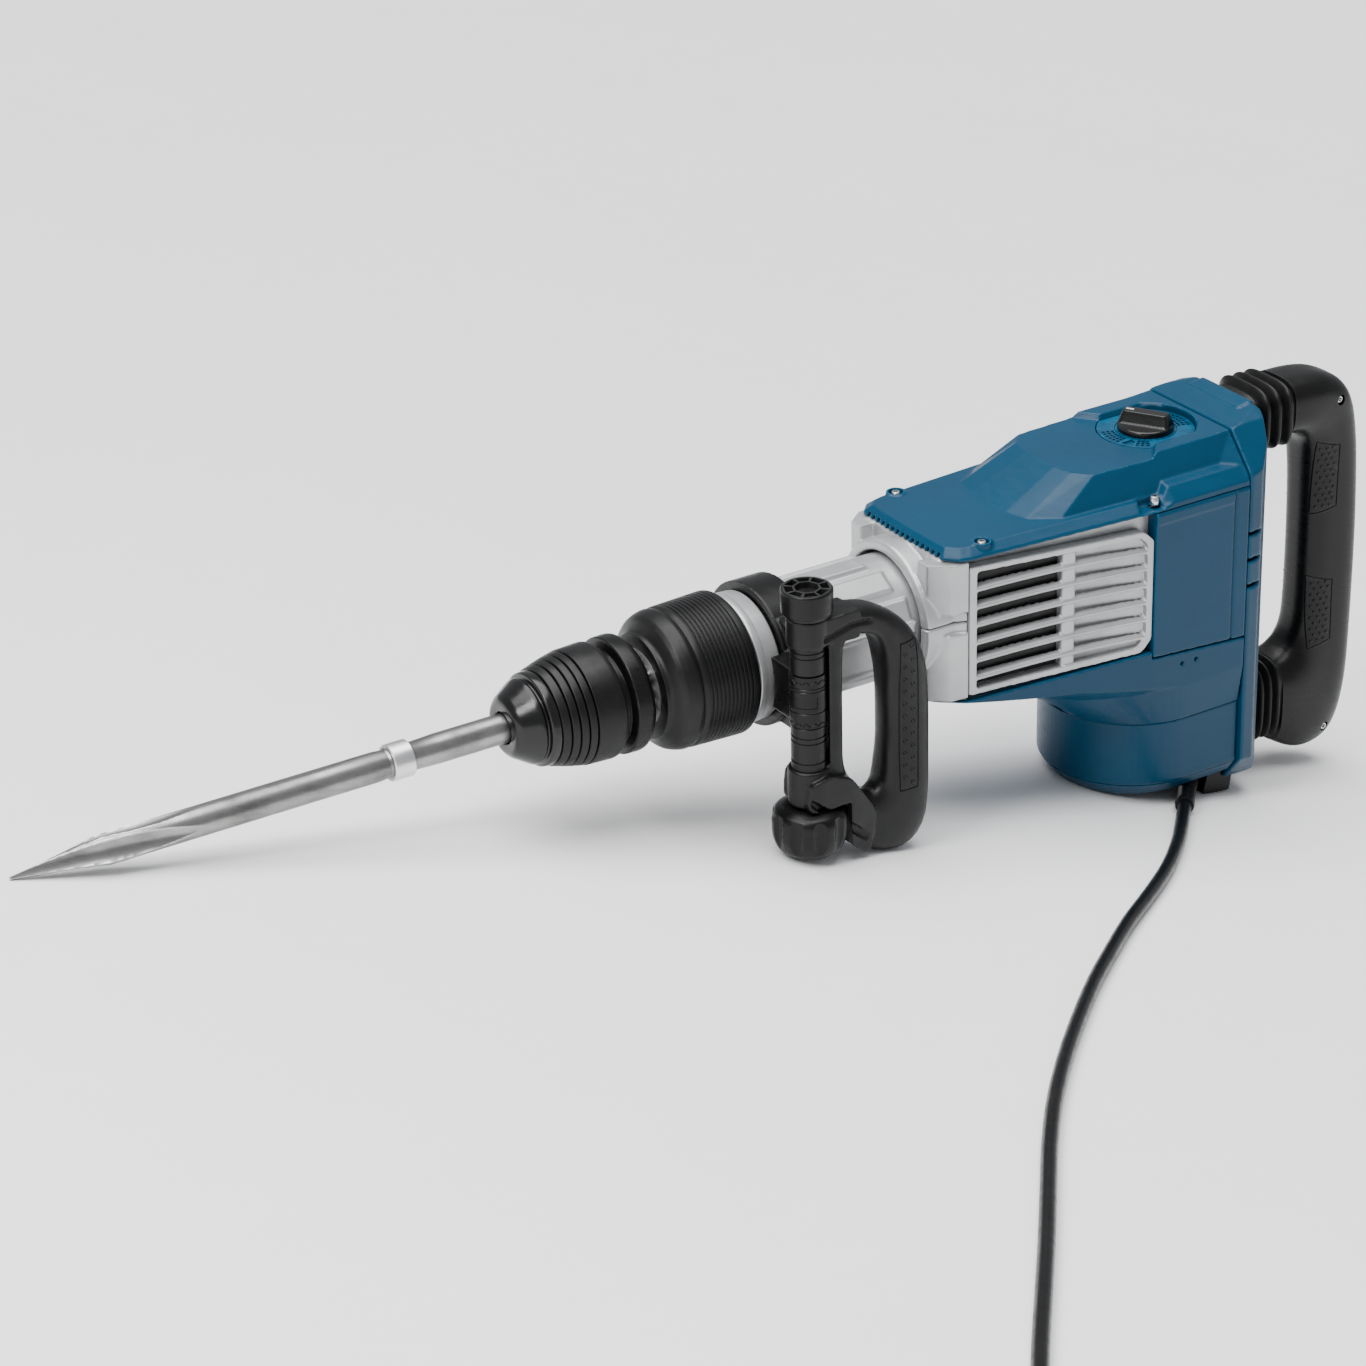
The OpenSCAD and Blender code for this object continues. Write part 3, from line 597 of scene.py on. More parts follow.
def make_plug():
    start = Vector(TAIL_ROUTE[-1])
    direction = Vector((*polar(1, math.radians(36)), 0))
    profile = [(0.3, 0), (0.3, 6.2), (2, 6.8)]
    for i in range(4):
        x = 3 + i * 2.4
        profile += [(x, 6.9 + 0.3 * i), (x + 0.3, 6.1 + 0.3 * i), (x + 1.3, 6.1 + 0.3 * i),
                    (x + 1.6, 7.1 + 0.3 * i)]
    profile += [(14, 10), (18, 14.5), (22, 16.4), (28, 18), (29, 17.2), (31, 17.2), (32, 18.2),
                (44, 18.4), (45.6, 17.6), (46, 16.5), (46, 0)]
    shell = world_lathe(profile, start, direction, 72)
    across = Vector((-direction.y, direction.x, 0))
    pins = []
    for side in (-1, 1):
        pin = [(45.5, 0), (45.5, 2.4), (55, 2.4), (55.2, 2.0), (55.8, 2.0), (56, 2.4),
               (64, 2.4), (64.7, 2.0), (65, 1.2), (65, 0)]
        pins.append(world_lathe(pin, start + across * 9.5 * side, direction, 32))
    contacts = joined(pins)
    shell = piece("mains_plug", shell, "frame", CORD_RUBBER, ["plug"], 35, "cord_pvc", False)
    piece("plug_pins", contacts, "frame", BRIGHT, ["plug"], 35, in_tool=False)
    return shell, contacts


def make_tie():
    """Hook-and-loop band round the coil, with a lapped end."""
    low, high = TURN_R[0] - CORD_D / 2 - 0.7, TURN_R[-1] + CORD_D / 2 + 0.7
    top = COIL_LIFT + LAYERS * CORD_D + 0.7
    outline = rounded(oblong(low, 0.3, high, top), 5, 6)
    mid_x, mid_z, half_width = 52, 19, 7
    inner = [((x - mid_x) * 0.985 + mid_x, (z - mid_z) * 0.97 + mid_z) for x, z in outline]
    bm = bmesh.new()
    loops = []
    for y, path in ((-half_width, outline), (half_width, outline), (half_width, inner), (-half_width, inner)):
        loops.append([bm.verts.new((x, y, z)) for x, z in path])
    for a, b in zip(loops, loops[1:] + loops[:1]):
        for i in range(len(outline)):
            j = (i + 1) % len(outline)
            bm.faces.new((a[i], a[j], b[j], b[i]))
    band = from_bmesh("band", bm)
    lap = prism("y", -half_width, half_width, oblong(46, top, 64, top + 0.9))
    obj = joined([band, lap])
    turn = Matrix.Rotation(math.radians(-120), 4, "Z")
    obj.data.transform(Matrix.Scale(MM, 4) @ Matrix.Translation(COIL_C + CENTRE) @ turn)
    return piece("cord_band", obj, "frame", RUBBER, ["cord_tie"], 35, in_tool=False)


def make_cord():
    route = smooth_curve(CORD_ROUTE, 3) + coil_points() + smooth_curve(TAIL_ROUTE, 3)
    route = [(p + CENTRE) * MM for p in route]
    data = bpy.data.curves.new("mains_cord", "CURVE")
    data.dimensions = "3D"
    data.bevel_depth = CORD_D / 2 * MM
    data.bevel_resolution = 6
    data.use_fill_caps = True
    spline = data.splines.new("POLY")
    spline.points.add(len(route) - 1)
    for point, at in zip(spline.points, route):
        point.co = (*at, 1)
    spline.use_smooth = True
    cord = new_object("mains_cord", data)
    data.materials.append(CORD_RUBBER)
    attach(cord, "frame")
    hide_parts("power_cord", "cord_coil")
    length = sum((b - a).length for a, b in zip(route, route[1:]))
    plug, pins = make_plug()
    make_tie()
    make_relief()


make_cord()


def make_gland():
    obj = moulded([cad("cable_gland")], (), 0.5, 4, 0.4)
    piece("gland", obj, "frame", BLACK, ["cable_gland"])


make_gland()


# ---- Chisel -----------------------------------------------------------------------------
TIP_X = -455
FLARE_X = -400
FLUTE_X = -338
COLLAR = (-222, -208)
SHANK_R = 9
FLARE_R = 10.3
FLUTE_DEPTH = 4.6


def chisel_radius(x, angle):
    """Forged head: four twisted flutes ground into a flaring four-sided point."""
    if x > COLLAR[0] and x < COLLAR[1]:
        return 11
    if x > FLUTE_X:
        return SHANK_R
    if x > FLARE_X:
        reach = SHANK_R + 1.3 * ease((-355 - x) / 45)
    else:
        reach = 1.0 + 9.3 * (x - TIP_X) / (FLARE_X - TIP_X)
    depth = FLUTE_DEPTH * ease((FLUTE_X - x) / 48)
    if x < FLARE_X:
        depth = FLUTE_DEPTH * (reach / FLARE_R) ** 1.3
    mill = 9.0
    twist = math.radians(-38) * (x - FLUTE_X) / (TIP_X - FLUTE_X)
    centre = reach + mill - depth
    for k in range(4):
        off = (angle - twist - math.pi / 2 * k + math.pi) % (2 * math.pi) - math.pi
        hit = mill ** 2 - (centre * math.sin(off)) ** 2
        if hit > 0 and math.cos(off) > 0:
            reach = min(reach, centre * math.cos(off) - math.sqrt(hit))
    return max(reach, 0.4)


def make_chisel():
    xs = [TIP_X + 1.1 * i for i in range(50)] + [FLARE_X + 2 * i for i in range(33)]
    xs += [-330, -300, -260, -230, COLLAR[0] - 1.4, COLLAR[0], COLLAR[0] + 0.1, COLLAR[0] + 0.9]
    xs += [COLLAR[1] - 0.9, COLLAR[1] - 0.1, COLLAR[1], COLLAR[1] + 1.5, -190, -160, -130, -63, -62]
    rings = []
    for x in xs:
        ring = []
        for a in angles(144):
            r = chisel_radius(x, a)
            if x in (COLLAR[0] + 0.1, COLLAR[1] - 0.1):
                r = 10.3
            if x in (COLLAR[0] - 1.4, COLLAR[1] + 1.5):
                r = 8.4
            if x == -62:
                r = 8
            ring.append((x, *polar(r, a)))
        rings.append(ring)
    obj = grid("chisel", rings)
    slots = [block(-113, -4.5, side * 11 - 5, -83, 4.5, side * 11 + 5) for side in (-1, 1)]
    cut(obj, slots)
    piece("pointed_chisel", obj, "chisel", CHISEL, ["chisel"], 28, "bright_steel")


make_chisel()


# ---- Tool holder rings ------------------------------------------------------------------
def ring_piece(name, profile, body, material, node, soft, slot=None):
    """A turned ring; profile points are (x, radius)."""
    piece(name, turned(rounded(profile, soft, 3), steps=160), body, material, [node], 32, slot)


def make_sleeve():
    profile = [(-122, 17.4), (-122, 29.3)]
    steps = [(-121.6, -117.4, 29.6, 30.9), (-116.4, -112.2, 31.2, 32.3), (-111.2, -107, 32.6, 33.6),
             (-106, -101.8, 33.8, 34.6), (-100.8, -84.4, 35, 35.7)]
    for x0, x1, r0, r1 in steps:
        profile += [(x0, r0), (x1, r1), (x1 + 0.1, r1 - 1.9), (x1 + 0.9, r1 - 1.9)]
    profile = profile[:-2] + [(-82, 35.2), (-80.6, 33.4), (-79.8, 30.4), (-79.1, 29), (-79.1, 17.4)]
    ring_piece("locking_sleeve_rubber", profile, "lock_sleeve", RUBBER, "locking_sleeve", 0.6)


def make_angle_ring():
    profile = [(-53, 24), (-53, 32.2), (-51, 32.6), (-49.6, 33.6), (-48, 36), (-46.2, 38.8),
               (-43.6, 41), (-40, 42.4), (-36.5, 43.2), (-34.5, 42.9), (-33.2, 42.2), (-32, 42.9)]
    grooves = 11
    for i in range(grooves):
        x = -30.6 + i * 2.75
        r = 43.4 + 0.09 * i
        profile += [(x, r), (x + 2.1, r), (x + 2.25, r - 0.6), (x + 2.6, r - 0.6)]
    profile += [(-0.8, 44.4), (3.4, 44.4), (4.9, 43.2), (5, 41), (5, 36), (-20, 36), (-20, 24)]
    ring_piece("angle_ring_rubber", profile, "holder", RUBBER, "angle_ring", 0.7)


NOSE = [(-146, 9.8), (-146, 15.4), (-144.6, 17.6), (-143, 19.2), (-133, 25.4), (-131, 26.2),
        (-130.2, 24.9), (-128.6, 24.9), (-128, 28.4), (-122.3, 28.8), (-122.3, 17.4),
        (-141, 17.4), (-141, 9.8)]
SLEEVE_RING = [(-79, 17.4), (-79, 29), (-75.4, 29), (-74.8, 34.6), (-74, 35.8), (-66, 36),
               (-64, 35.4), (-62.4, 33.2), (-61.1, 32.4), (-61.1, 17.4)]
FRONT_RING = [(6.5, 33.5), (6.5, 40.2), (7.4, 41), (9, 41), (11.2, 40.6), (12.2, 40.2), (21.4, 39.8),
              (22, 39.2), (22, 33.5)]

ring_piece("nose_cone", NOSE, "lock_sleeve", GLOSS, "nose_cap", 1.2, "black_rubber")
make_sleeve()
ring_piece("sleeve_grip_ring", SLEEVE_RING, "lock_sleeve", BLACK, "sleeve_ring", 0.7, "gloss_black")
make_angle_ring()
ring_piece("front_collar", FRONT_RING, "frame", SILVER, "front_ring", 0.5)


# ---- Barrel and gear housing ------------------------------------------------------------
def turned_about_x(obj, degrees):
    obj.data.transform(Matrix.Rotation(math.radians(degrees), 4, "X"))
    return obj


def barrel_flat(angle, half_width, x0, x1):
    """Raised lengthwise pad with a sloping step at each end; angle is from straight up."""
    low, high = 34, 38.7
    pad = loft("z", [(low, oblong(x0 - 3, -half_width - 2, x1 + 3, half_width + 2)),
                     (high, oblong(x0 + 1, -half_width, x1 - 2, half_width))])
    return turned_about_x(pad, angle)


def make_barrel():
    parts = [turned(rounded([(-12, 25), (-12, 33.5), (22, 33.5), (22, 36.6), (130, 37), (130, 25)], 0.5, 2))]
    ends = {0: 106, 32: 112, 64: 118, 148: 118, 180: 112, 212: 112, 296: 118, 328: 112}
    parts += [barrel_flat(angle, 6.6, 30, end) for angle, end in ends.items()]
    # Plain framed panel on each side
    for side in (-1, 1):
        parts.append(turned_about_x(block(46, -15, 34, 119, 15, 37.9), -side * 97))
    cutters = [turned_about_x(block(50, -11.5, 36.9, 115, 11.5, 42), -side * 97) for side in (-1, 1)]
    obj = moulded(parts, cutters, 0.7, 4, 0.4)
    piece("barrel_casting", obj, "frame", SILVER, ["barrel_housing"])


def make_gear_housing():
    """Upper and lower castings; each is drawn back a little from the joint between them."""
    shoulder = [(126, -40), (138, -49.5), (150, -50.5), (150, -30), (126, -30)]
    other_shoulder = [(x, -y) for x, y in shoulder[::-1]]
    for name, node, low, high, seam in (("gear_casting_upper", "gear_housing_upper", 12, 45, 5.3),
                                        ("gear_casting_lower", "gear_housing_lower", -46, -2, 4.7)):
        parts = [cad(node), prism("z", low, high, shoulder), prism("z", low, high, other_shoulder)]
        parts.append(turned(rounded([(122, 39.2), (122, 43.5), (124, 46), (140, 46), (140, 39.2)], 1.2, 3)))
        keep_low = block(100, -90, -100, 400, 90, seam) if high > 0 else block(100, -90, seam, 400, 90, 100)
        bore = along_x(120, 150, 39.1)
        obj = moulded(parts, [keep_low, bore], 0.8, 4, 0.35)
        piece(name, obj, "frame", SILVER, [node])


FINS = 6


def side_face(x):
    """How far the grille's face stands from the tool axis."""
    return 51 + (x - 150) * 10 / 133


def grille_bar(x0, x1, centre, half, depth_front, depth_rear):
    """One fin: a round-edged bar bowed a little upwards, from x0 to x1."""
    rings = []
    steps = 18
    for i in range(steps + 1):
        t = i / steps
        x = x0 + (x1 - x0) * t
        z = centre(t)
        out = side_face(x)
        back = out - depth_front - (depth_rear - depth_front) * t
        ring = [(out - 0.1, half * 0.45), (out, 0), (out - 0.1, -half * 0.45), (out - 0.7, -half),
                (back, -half - 0.6), (back, half + 1.4), (out - 1.2, half)]
        rings.append([(x, -y, z + dz) for y, dz in ring])
    return grid("fin", rings)


def mirrored(obj):
    """Turns a near-side piece into its far-side twin."""
    obj.data.transform(Matrix.Scale(-1, 4, (0, 1, 0)))
    obj.data.flip_normals()


def make_grille(name, node, side):
    outline = [(150.3, -44.5), (150.3, 41), (275, 35.5), (282.7, 28), (282.7, -39), (275, -47)]
    window = rounded([(155.5, -41), (155.5, 37.2), (272.5, 31.8), (278, 26.2), (278, -36.2),
                      (272.5, -42.4)], 2, 3)
    face = [(150, -51), (150, -43.6), (283, -53.6), (283, -61)]
    rim = prism("z", -60, 60, face)
    boolean(rim, prism("y", -75, -38, rounded(outline, 1.5, 2)), "INTERSECT")
    # Pocket whose floor slopes up towards the rear
    pocket = loft("x", [(154, oblong(-60, -60, -44.2, 60)), (216, oblong(-64, -60, -48.8, 60)),
                        (279, oblong(-70, -60, -57.2, 60))])
    shape = prism("y", -75, -38, window)
    boolean(shape, pocket, "INTERSECT")
    parts = [cut(rim, [shape])]
    for i in range(FINS):
        front, rear = 25.2 - i * 11.9, 21.0 - i * 11.6
        parts.append(grille_bar(154, 280, lambda t: front + (rear - front) * t + 1.6 * math.sin(math.pi * t),
                                1.55, 5.4, 2.4))
    post = rounded([(217, -56.3), (227, -57.0), (227, -48.6), (217, -48)], 2.6, 4)
    parts.append(prism("z", -44, 35, [(x, y + 1.2) for x, y in post]))
    obj = moulded(parts, (), 0.55, 2, 0.35)
    # Dark panel behind the front fins: a painted shadow in the gaps between them
    shadow_panel = loft("x", [(155.6, oblong(-44.9, -40.6, -44.2, 36.8)), (217.5, oblong(-49.6, -41.5, -48.9, 34))])
    if side > 0:
        mirrored(obj)
        mirrored(shadow_panel)
    piece(name, obj, "frame", SILVER, [node])
    piece(name + "_baffle", shadow_panel, "frame", BLACK)


make_barrel()
make_gear_housing()
make_grille("grille_near", "side_grille_left", -1)
make_grille("grille_far", "side_grille_right", 1)


# ---- Blue covers ------------------------------------------------------------------------
SEAM_X = 356.7
DIAL_X = 322
MOTOR_X = 313


def both_sides(outline):
    """An outline's near half, in (x, y) from front to rear, with its mirror image."""
    return outline + [(x, -y) for x, y in outline[::-1]]


def hood_solids():
    deck = [(136, -20), (136.5, -42), (144, -50), (151, -52), (283, -61.6), (SEAM_X, -61.6)]
    inset = [(140, -18), (141, -38), (147, -44), (154, -45.5), (280, -54), (SEAM_X, -54)]
    parts = [loft("z", [(46.2, both_sides(deck)), (48.2, both_sides(deck)), (53, both_sides(inset))])]
    base = [(200, -18), (204, -34), (222, -46), (300, -50), (SEAM_X, -50)]
    top = [(247, -14), (250, -28), (258, -37.5), (300, -39.5), (SEAM_X, -39.5)]
    parts.append(loft("z", [(50, both_sides(base)), (53, both_sides(base)), (75.6, both_sides(top))]))
    for s in (-1, 1):
        # Shoulder behind the rear screw, and the boss of the front one
        section = [(s * 61.6, 46.2), (s * 61.6, 50), (s * 54, 58), (s * 44, 60), (s * 40, 46.2)]
        low = [(s * 61.6, 46.2), (s * 61.6, 47), (s * 57, 50), (s * 44, 51), (s * 40, 46.2)]
        parts.append(loft("x", [(290, low), (297, section), (SEAM_X, section)]))
        parts.append(disc(163, s * 45, 46.2, 54.2, 6.2, 40))
    # The sides flare out towards the rear cover
    narrow = [(-50, 52), (-39.5, 75.5), (39.5, 75.5), (50, 52)]
    flared = [(-61, 52), (-39.6, 76.4), (39.6, 76.4), (61, 52)]
    parts.append(loft("x", [(336, narrow), (SEAM_X, flared)]))
    return parts


def hood_cutters():
    cutters = []
    # Sunk deck round the dial, open at the front between the two rails
    sunk = [(225, -60), (280, -60), (306, -26.5), (338, -26.5), (346, -18)]
    wide = [(225, -60), (282, -60), (308, -28.5), (340, -28.5), (350, -18)]
    cutters.append(loft("z", [(72, both_sides(sunk)), (76.5, both_sides(wide))]))
    cutters.append(prism("y", -33, 33, [(160, 40), (160, 49), (210, 49), (252, 68), (352, 68), (352, 40)]))
    seat = disc(DIAL_X, 0, 60, 90, 31.2, 96)
    cutters.append(boolean(seat, block(280, -26.4, 60, 360, 26.4, 90), "INTERSECT"))
    for s in (-1, 1):
        cutters.append(disc(163, s * 45, 49.6, 60, 4.5, 32))
        cutters.append(disc(163, s * 45, 40, 60, 3.5, 32))
        cutters.append(prism("z", 47.5, 60, [(276, s * 50), (270, s * 64), (292, s * 64), (288, s * 50)]))
        cutters.append(disc(287, s * 54, 40, 60, 3.5, 32))
    # Cooling slots in the front lip
    for i in range(-7, 8):
        cutters.append(block(132, i * 5.2 - 1.2, 44, 142, i * 5.2 + 1.2, 49.4))
    return cutters


def make_hood():
    obj = moulded(hood_solids(), hood_cutters(), 0.8, 4, 0.35)
    piece("hood_shell", obj, "frame", BLUE, ["hood"])


def make_dial_plate():
    plate = turned(rounded([(66, 6.3), (66, 30.8), (72, 30.8), (72, 6.3)], 0.4, 2), (DIAL_X, 0, 0), "z", 128)
    boolean(plate, block(280, -26, 60, 360, 26, 80), "INTERSECT")
    # Dots of the power scale, in two arcs with a gap for the mark
    holes = []
    for start in (158, -22):
        for angle in range(start, start + 78, 7):
            if abs(angle - 207) < 10:
                continue
            for r in (21.4, 24.4, 27.4):
                holes.append(disc(*polar(r, math.radians(angle), DIAL_X), 70.6, 73, 1.0, 10))
    ring = turned([(71.4, 19), (71.4, 19.6), (73, 19.6), (73, 19)], (DIAL_X, 0, 0), "z", 96)
    mark = block(DIAL_X - 26, -13.5, 71.2, DIAL_X - 18.5, -9.5, 73)
    cut(plate, [joined(holes), ring, mark])
    piece("dial_base", plate, "frame", BLUE, ["dial_plate"], 30)


def make_dial():
    skirt = turned(rounded([(72.3, 0), (72.3, 18), (75.4, 17.6), (76, 16.6), (76, 0)], 0.5, 3),
                   (DIAL_X, 0, 0), "z", 96)
    low = rounded(oblong(-17.2, -7.4, 17.2, 7.4), 3, 4)
    high = rounded(oblong(-15.4, -4.6, 15.4, 4.6), 2.4, 4)
    grip = loft("z", [(74.5, [(DIAL_X + x, y) for x, y in low]), (81, [(DIAL_X + x, y) for x, y in high]),
                      (83.4, [(DIAL_X + x * 0.93, y * 0.8) for x, y in high])])
    stem = disc(DIAL_X, 0, 62, 73, 5.9)
    obj = moulded([skirt, grip, stem], (), 0.45, 3, 0.4)
    turn = Matrix.Translation((DIAL_X, 0, 0)) @ Matrix.Rotation(math.radians(-58), 4, "Z")
    obj.data.transform(turn @ Matrix.Translation((-DIAL_X, 0, 0)))
    piece("power_knob", obj, "dial", GLOSS, ["power_dial"])
    pointer = loft("z", [(z, oblong(DIAL_X - 13, -half, DIAL_X - 8, half))
                         for z, half in ((83.0, 0.8), (83.7, 0.6))])
    pointer.data.transform(turn @ Matrix.Translation((-DIAL_X, 0, 0)))
    piece("knob_pointer", pointer, "dial", LENS)


def skirt_outline(reach, half):
    """Outline round the motor pot: reach forwards of its axis, half wide."""
    front = [(MOTOR_X + reach * math.cos(a), half * math.sin(a))
             for a in (math.radians(90 + 180 * i / 48) for i in range(49))]
    return [(SEAM_X, half)] + front + [(SEAM_X, -half)]


def chin_solid():
    side = [(118, -48.3), (283, -48.3), (283, -53.4), (SEAM_X, -58.6), (SEAM_X, -104.3), (256, -104.3),
            (252, -98), (196, -64), (150, -57), (122, -53)]
    plan = both_sides([(118, -30), (150, -51), (283, -61.7), (SEAM_X, -62)])
    levels = [(-110, 58.6, 58.6), (-104.4, 58.6, 58.6), (-78, 96, 62), (-64, 140, 70), (-40, 230, 110)]
    shape = prism("y", -70, 70, side)
    boolean(shape, prism("z", -110, -40, plan), "INTERSECT")
    boolean(shape, loft("z", [(z, skirt_outline(reach, half)) for z, reach, half in levels]), "INTERSECT")
    return cut(shape, [disc(MOTOR_X, 0, -110, -52, 51, 64)])


def make_main_housing():
    side = [(62, -78), (62, 44), (60.8, 46), (50, 46), (50, 30), (53, 24), (53, -104.3), (58.6, -104.3)]
    parts = []
    for s in (-1, 1):
        parts.append(prism("x", 283.4, SEAM_X, [(s * y, z) for y, z in side]))
        # Raised edge along the top of the side panel
        parts.append(prism("x", 283.4, 346, [(s * 62.6, 38), (s * 62.6, 44.6), (s * 58, 45.6), (s * 58, 38)]))
    parts.append(block(350, -54, -104, SEAM_X, 54, 30))
    cutters = [block(344.8, y, -104, 346.4, y + 5.4, 46) for y in (-66, 60.6)]
    cutters.append(prism("y", -70, 70, [(280, -52.2), (360, -57.8), (360, -110), (280, -110)]))
    obj = moulded(parts, cutters, 0.8, 3, 0.35)
    piece("motor_housing_shell", obj, "frame", BLUE, ["main_housing"])


def make_chin():
    cutters = [block(110, y - 1.6, -56, 133, y + 1.6, -49.6) for y in (-27, -20, -13, 13, 20, 27)]
    for low, high in ((-66, -59), (59, 66)):
        cutters += [disc(x, -63, low, high, 1.5, 20, "y") for x in (307, 318)]
    obj = moulded([chin_solid()], cutters, 0.8, 4, 0.35)
    piece("chin_shell", obj, "frame", BLUE, ["chin_cover"])


def pot_outline(r, grow=0):
    """Motor pot seen from below: round in front, square at the seam."""
    front = arc(MOTOR_X, 0, r, 90, 270, 40)
    return [(SEAM_X - grow, r)] + front + [(SEAM_X - grow, -r)]


def make_pot():
    pot = loft("z", [(-148, pot_outline(57.6)), (-146.5, pot_outline(58)), (-104.6, pot_outline(58))])
    room = prism("z", -149, -104, pot_outline(54.5, 3.5))
    obj = moulded([pot], [room], 0.8, 4, 0.35)
    piece("motor_pot_shell", obj, "frame", BLUE, ["motor_pot"])
    cap = loft("z", [(-158, pot_outline(50)), (-156.8, pot_outline(51.2)), (-148.4, pot_outline(57.4))])
    cutters = [disc(MOTOR_X, 0, -153, -140, 40, 64)]
    cutters += [disc(x, y, -160, -154, 4.1, 32) for x in (291, 343) for y in (-34, 34)]
    cutters += [disc(*polar(28, math.radians(90 + 30 * i) + math.pi / 2, MOTOR_X), -160, -150, 2, 24)
                for i in range(1, 6)]
    obj = moulded([cap], cutters, 0.8, 3, 0.35)
    piece("pot_base_cap", obj, "frame", BLUE, ["pot_cap"])


def make_rear_cover():
    # The lid over the upper socket closes the roof above the bellows
    lid = prism("y", -24, 24, [(376, 80.7), (376, 81.2), (386, 83.4), (389.6, 80.7)])
    parts = [cad("rear_cover"), lid]
    cutters = [block(357, y, z - 1.2, 372, y + 9, z + 1.2) for y in (-66, 57) for z in (12, -6, -24)]
    cutters += [block(388.4, -14, -64 + i * 7, 392, 14, -61 + i * 7) for i in range(5)]
    obj = moulded(parts, cutters, 0.9, 7, 0.35)
    piece("rear_shell", obj, "frame", BLUE, ["rear_cover"])
    bead = rounded([(383, 0), (383, 2.4), (389.6, 2.4), (390.4, 1.6), (390.4, 0)], 0.5, 3)
    lens = turned(bead, (0, -20, -6))
    piece("indicator_lens", lens, "frame", LENS, ["rear_light"])


def torx_screw(radius, height, drive):
    """Pan-head screw along +Z from the origin with a six-lobed drive."""
    profile = [(0, 0), (0, radius), (height * 0.45, radius), (height, radius * 0.72), (height, 0)]
    head = turned(rounded(profile, 0.35, 3), (0, 0, 0), "z", 40)
    lobes = [polar(drive * (1 + 0.16 * math.cos(6 * a)), a) for a in angles(48)]
    return cut(head, [prism("z", height * 0.35, height + 1, lobes)])


def screw_set(name, node, body, turn, screws):
    """Screws of one kind: each is (place, head radius, head height, drive radius)."""
    heads = []
    for at, radius, height, drive in screws:
        head = torx_screw(radius, height, drive)
        head.data.transform(Matrix.Translation(at) @ Matrix.Rotation(math.radians(turn), 4, "X"))
        heads.append(head)
    piece(name, joined(heads), body, BRIGHT, [node], 32)


def make_screws():
    hood = [((x, s * y, z), 3.25, height, 1.6) for s in (-1, 1)
            for x, y, z, height in ((163, 45, 50, 3.8), (287, 54, 49, 5.4))]
    screw_set("hood_screw_set", "hood_screws", "frame", 0, hood)
    pot = [((x, y, -154.2), 3.8, 2.8, 1.8) for x in (291, 343) for y in (-34, 34)]
    screw_set("pot_screw_set", "pot_screws", "frame", 180, pot)
    screw_set("handle_screw_set", "handle_screws", "rear_handle", 90,
              [((466, -14.6, z), 3.0, 2.6, 1.5) for z in (62, -173)])


make_hood()
make_dial_plate()
make_dial()
make_main_housing()
make_chin()
make_pot()
make_rear_cover()


# ---- Rear handle ------------------------------------------------------------------------
def squarish(steps, power):
    """Cosines and sines of a turn, drawn out towards a square with round corners."""
    return [[math.copysign(abs(v) ** power, v) for v in (math.cos(a), math.sin(a))] for a in angles(steps)]


def arm_section(z0, z1, grow):
    """Round-cornered section of an arm, in (y, z)."""
    half_y, half_z, mid = 21 + grow, (z1 - z0) / 2 + grow, (z0 + z1) / 2
    return [(half_y * c, mid + half_z * s) for c, s in squarish(96, 2 / 3.6)]


def make_bellows(name, node, z0, z1, ribs, tall):
    first, last = 396.5, 424
    rings = []
    samples = 26 * ribs
    for grow, at in ((-1.2, 384.2), (-0.6, 384.8), (-0.2, 386), (-0.2, 394), (0.5, 395.2), (0.1, 396.2)):
        rings.append((at, arm_section(z0, z1, grow)))
    for i in range(samples + 1):
        t = i / samples
        wave = math.sin(math.pi * ((t * ribs) % 1)) ** 2 if 0 < t < 1 else 0
        sharp = wave ** 0.75
        rings.append((first + (last - first) * t, arm_section(z0, z1, tall * sharp - 0.8 * (1 - sharp))))
    rings.append((425.8, arm_section(z0, z1, -0.6)))
    obj = loft("x", rings)
    mid = (z0 + z1) / 2
    cut(obj, [along_x(380, 430, 12, 0, mid)])
    obj = piece(name, obj, None, RUBBER, [node], 50)
    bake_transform(obj)


GRIP_OUTER = [(426, 83), (444, 82.4), (460, 79.5), (474, 71), (483.5, 55), (489, 28), (491.6, -8),
              (492.6, -48), (491.8, -105), (489.6, -143), (483.5, -168), (473.5, -182), (459, -187),
              (443.5, -185), (426, -175)]
GRIP_INNER = [(426, 45), (432, 44.4), (437.4, 42), (441.8, 37.6), (444.6, 30), (446, 14), (446.8, -12),
              (447, -48), (446.6, -80), (445.2, -96), (441.4, -105.5), (436.8, -110.6), (432.6, -113.2),
              (429, -114.4), (426, -115)]
GRIP_HALF = [21.5, 21.6, 21, 19.6, 18, 16.8, 16.2, 16, 16.2, 17, 18.6, 20.4, 21.4, 21.8, 21.5]


def tube_section(inner, outer, half, steps, power):
    """Ring between an inner and an outer point in (x, z), half its width each way in y."""
    middle, reach = (outer + inner) / 2, (outer - inner) / 2
    return [(middle.x + reach.x * c, half * s, middle.y + reach.y * c) for c, s in squarish(steps, power)]


def studs(points, surface, radius, height, direction):
    """Small round bumps standing on a surface that is found along a direction."""
    surface.data.update()
    made = []
    for point in points:
        hit, at, normal, _ = surface.ray_cast(Vector(point), Vector(direction))
        if not hit:
            continue
        dome = turned([(-0.6, 0), (-0.6, radius), (0, radius), (height * 0.7, radius * 0.75),
                       (height, radius * 0.3), (height, 0)], (0, 0, 0), "z", 14)
        dome.data.transform(Matrix.Translation(at) @ facing(normal))
        made.append(dome)
    return made


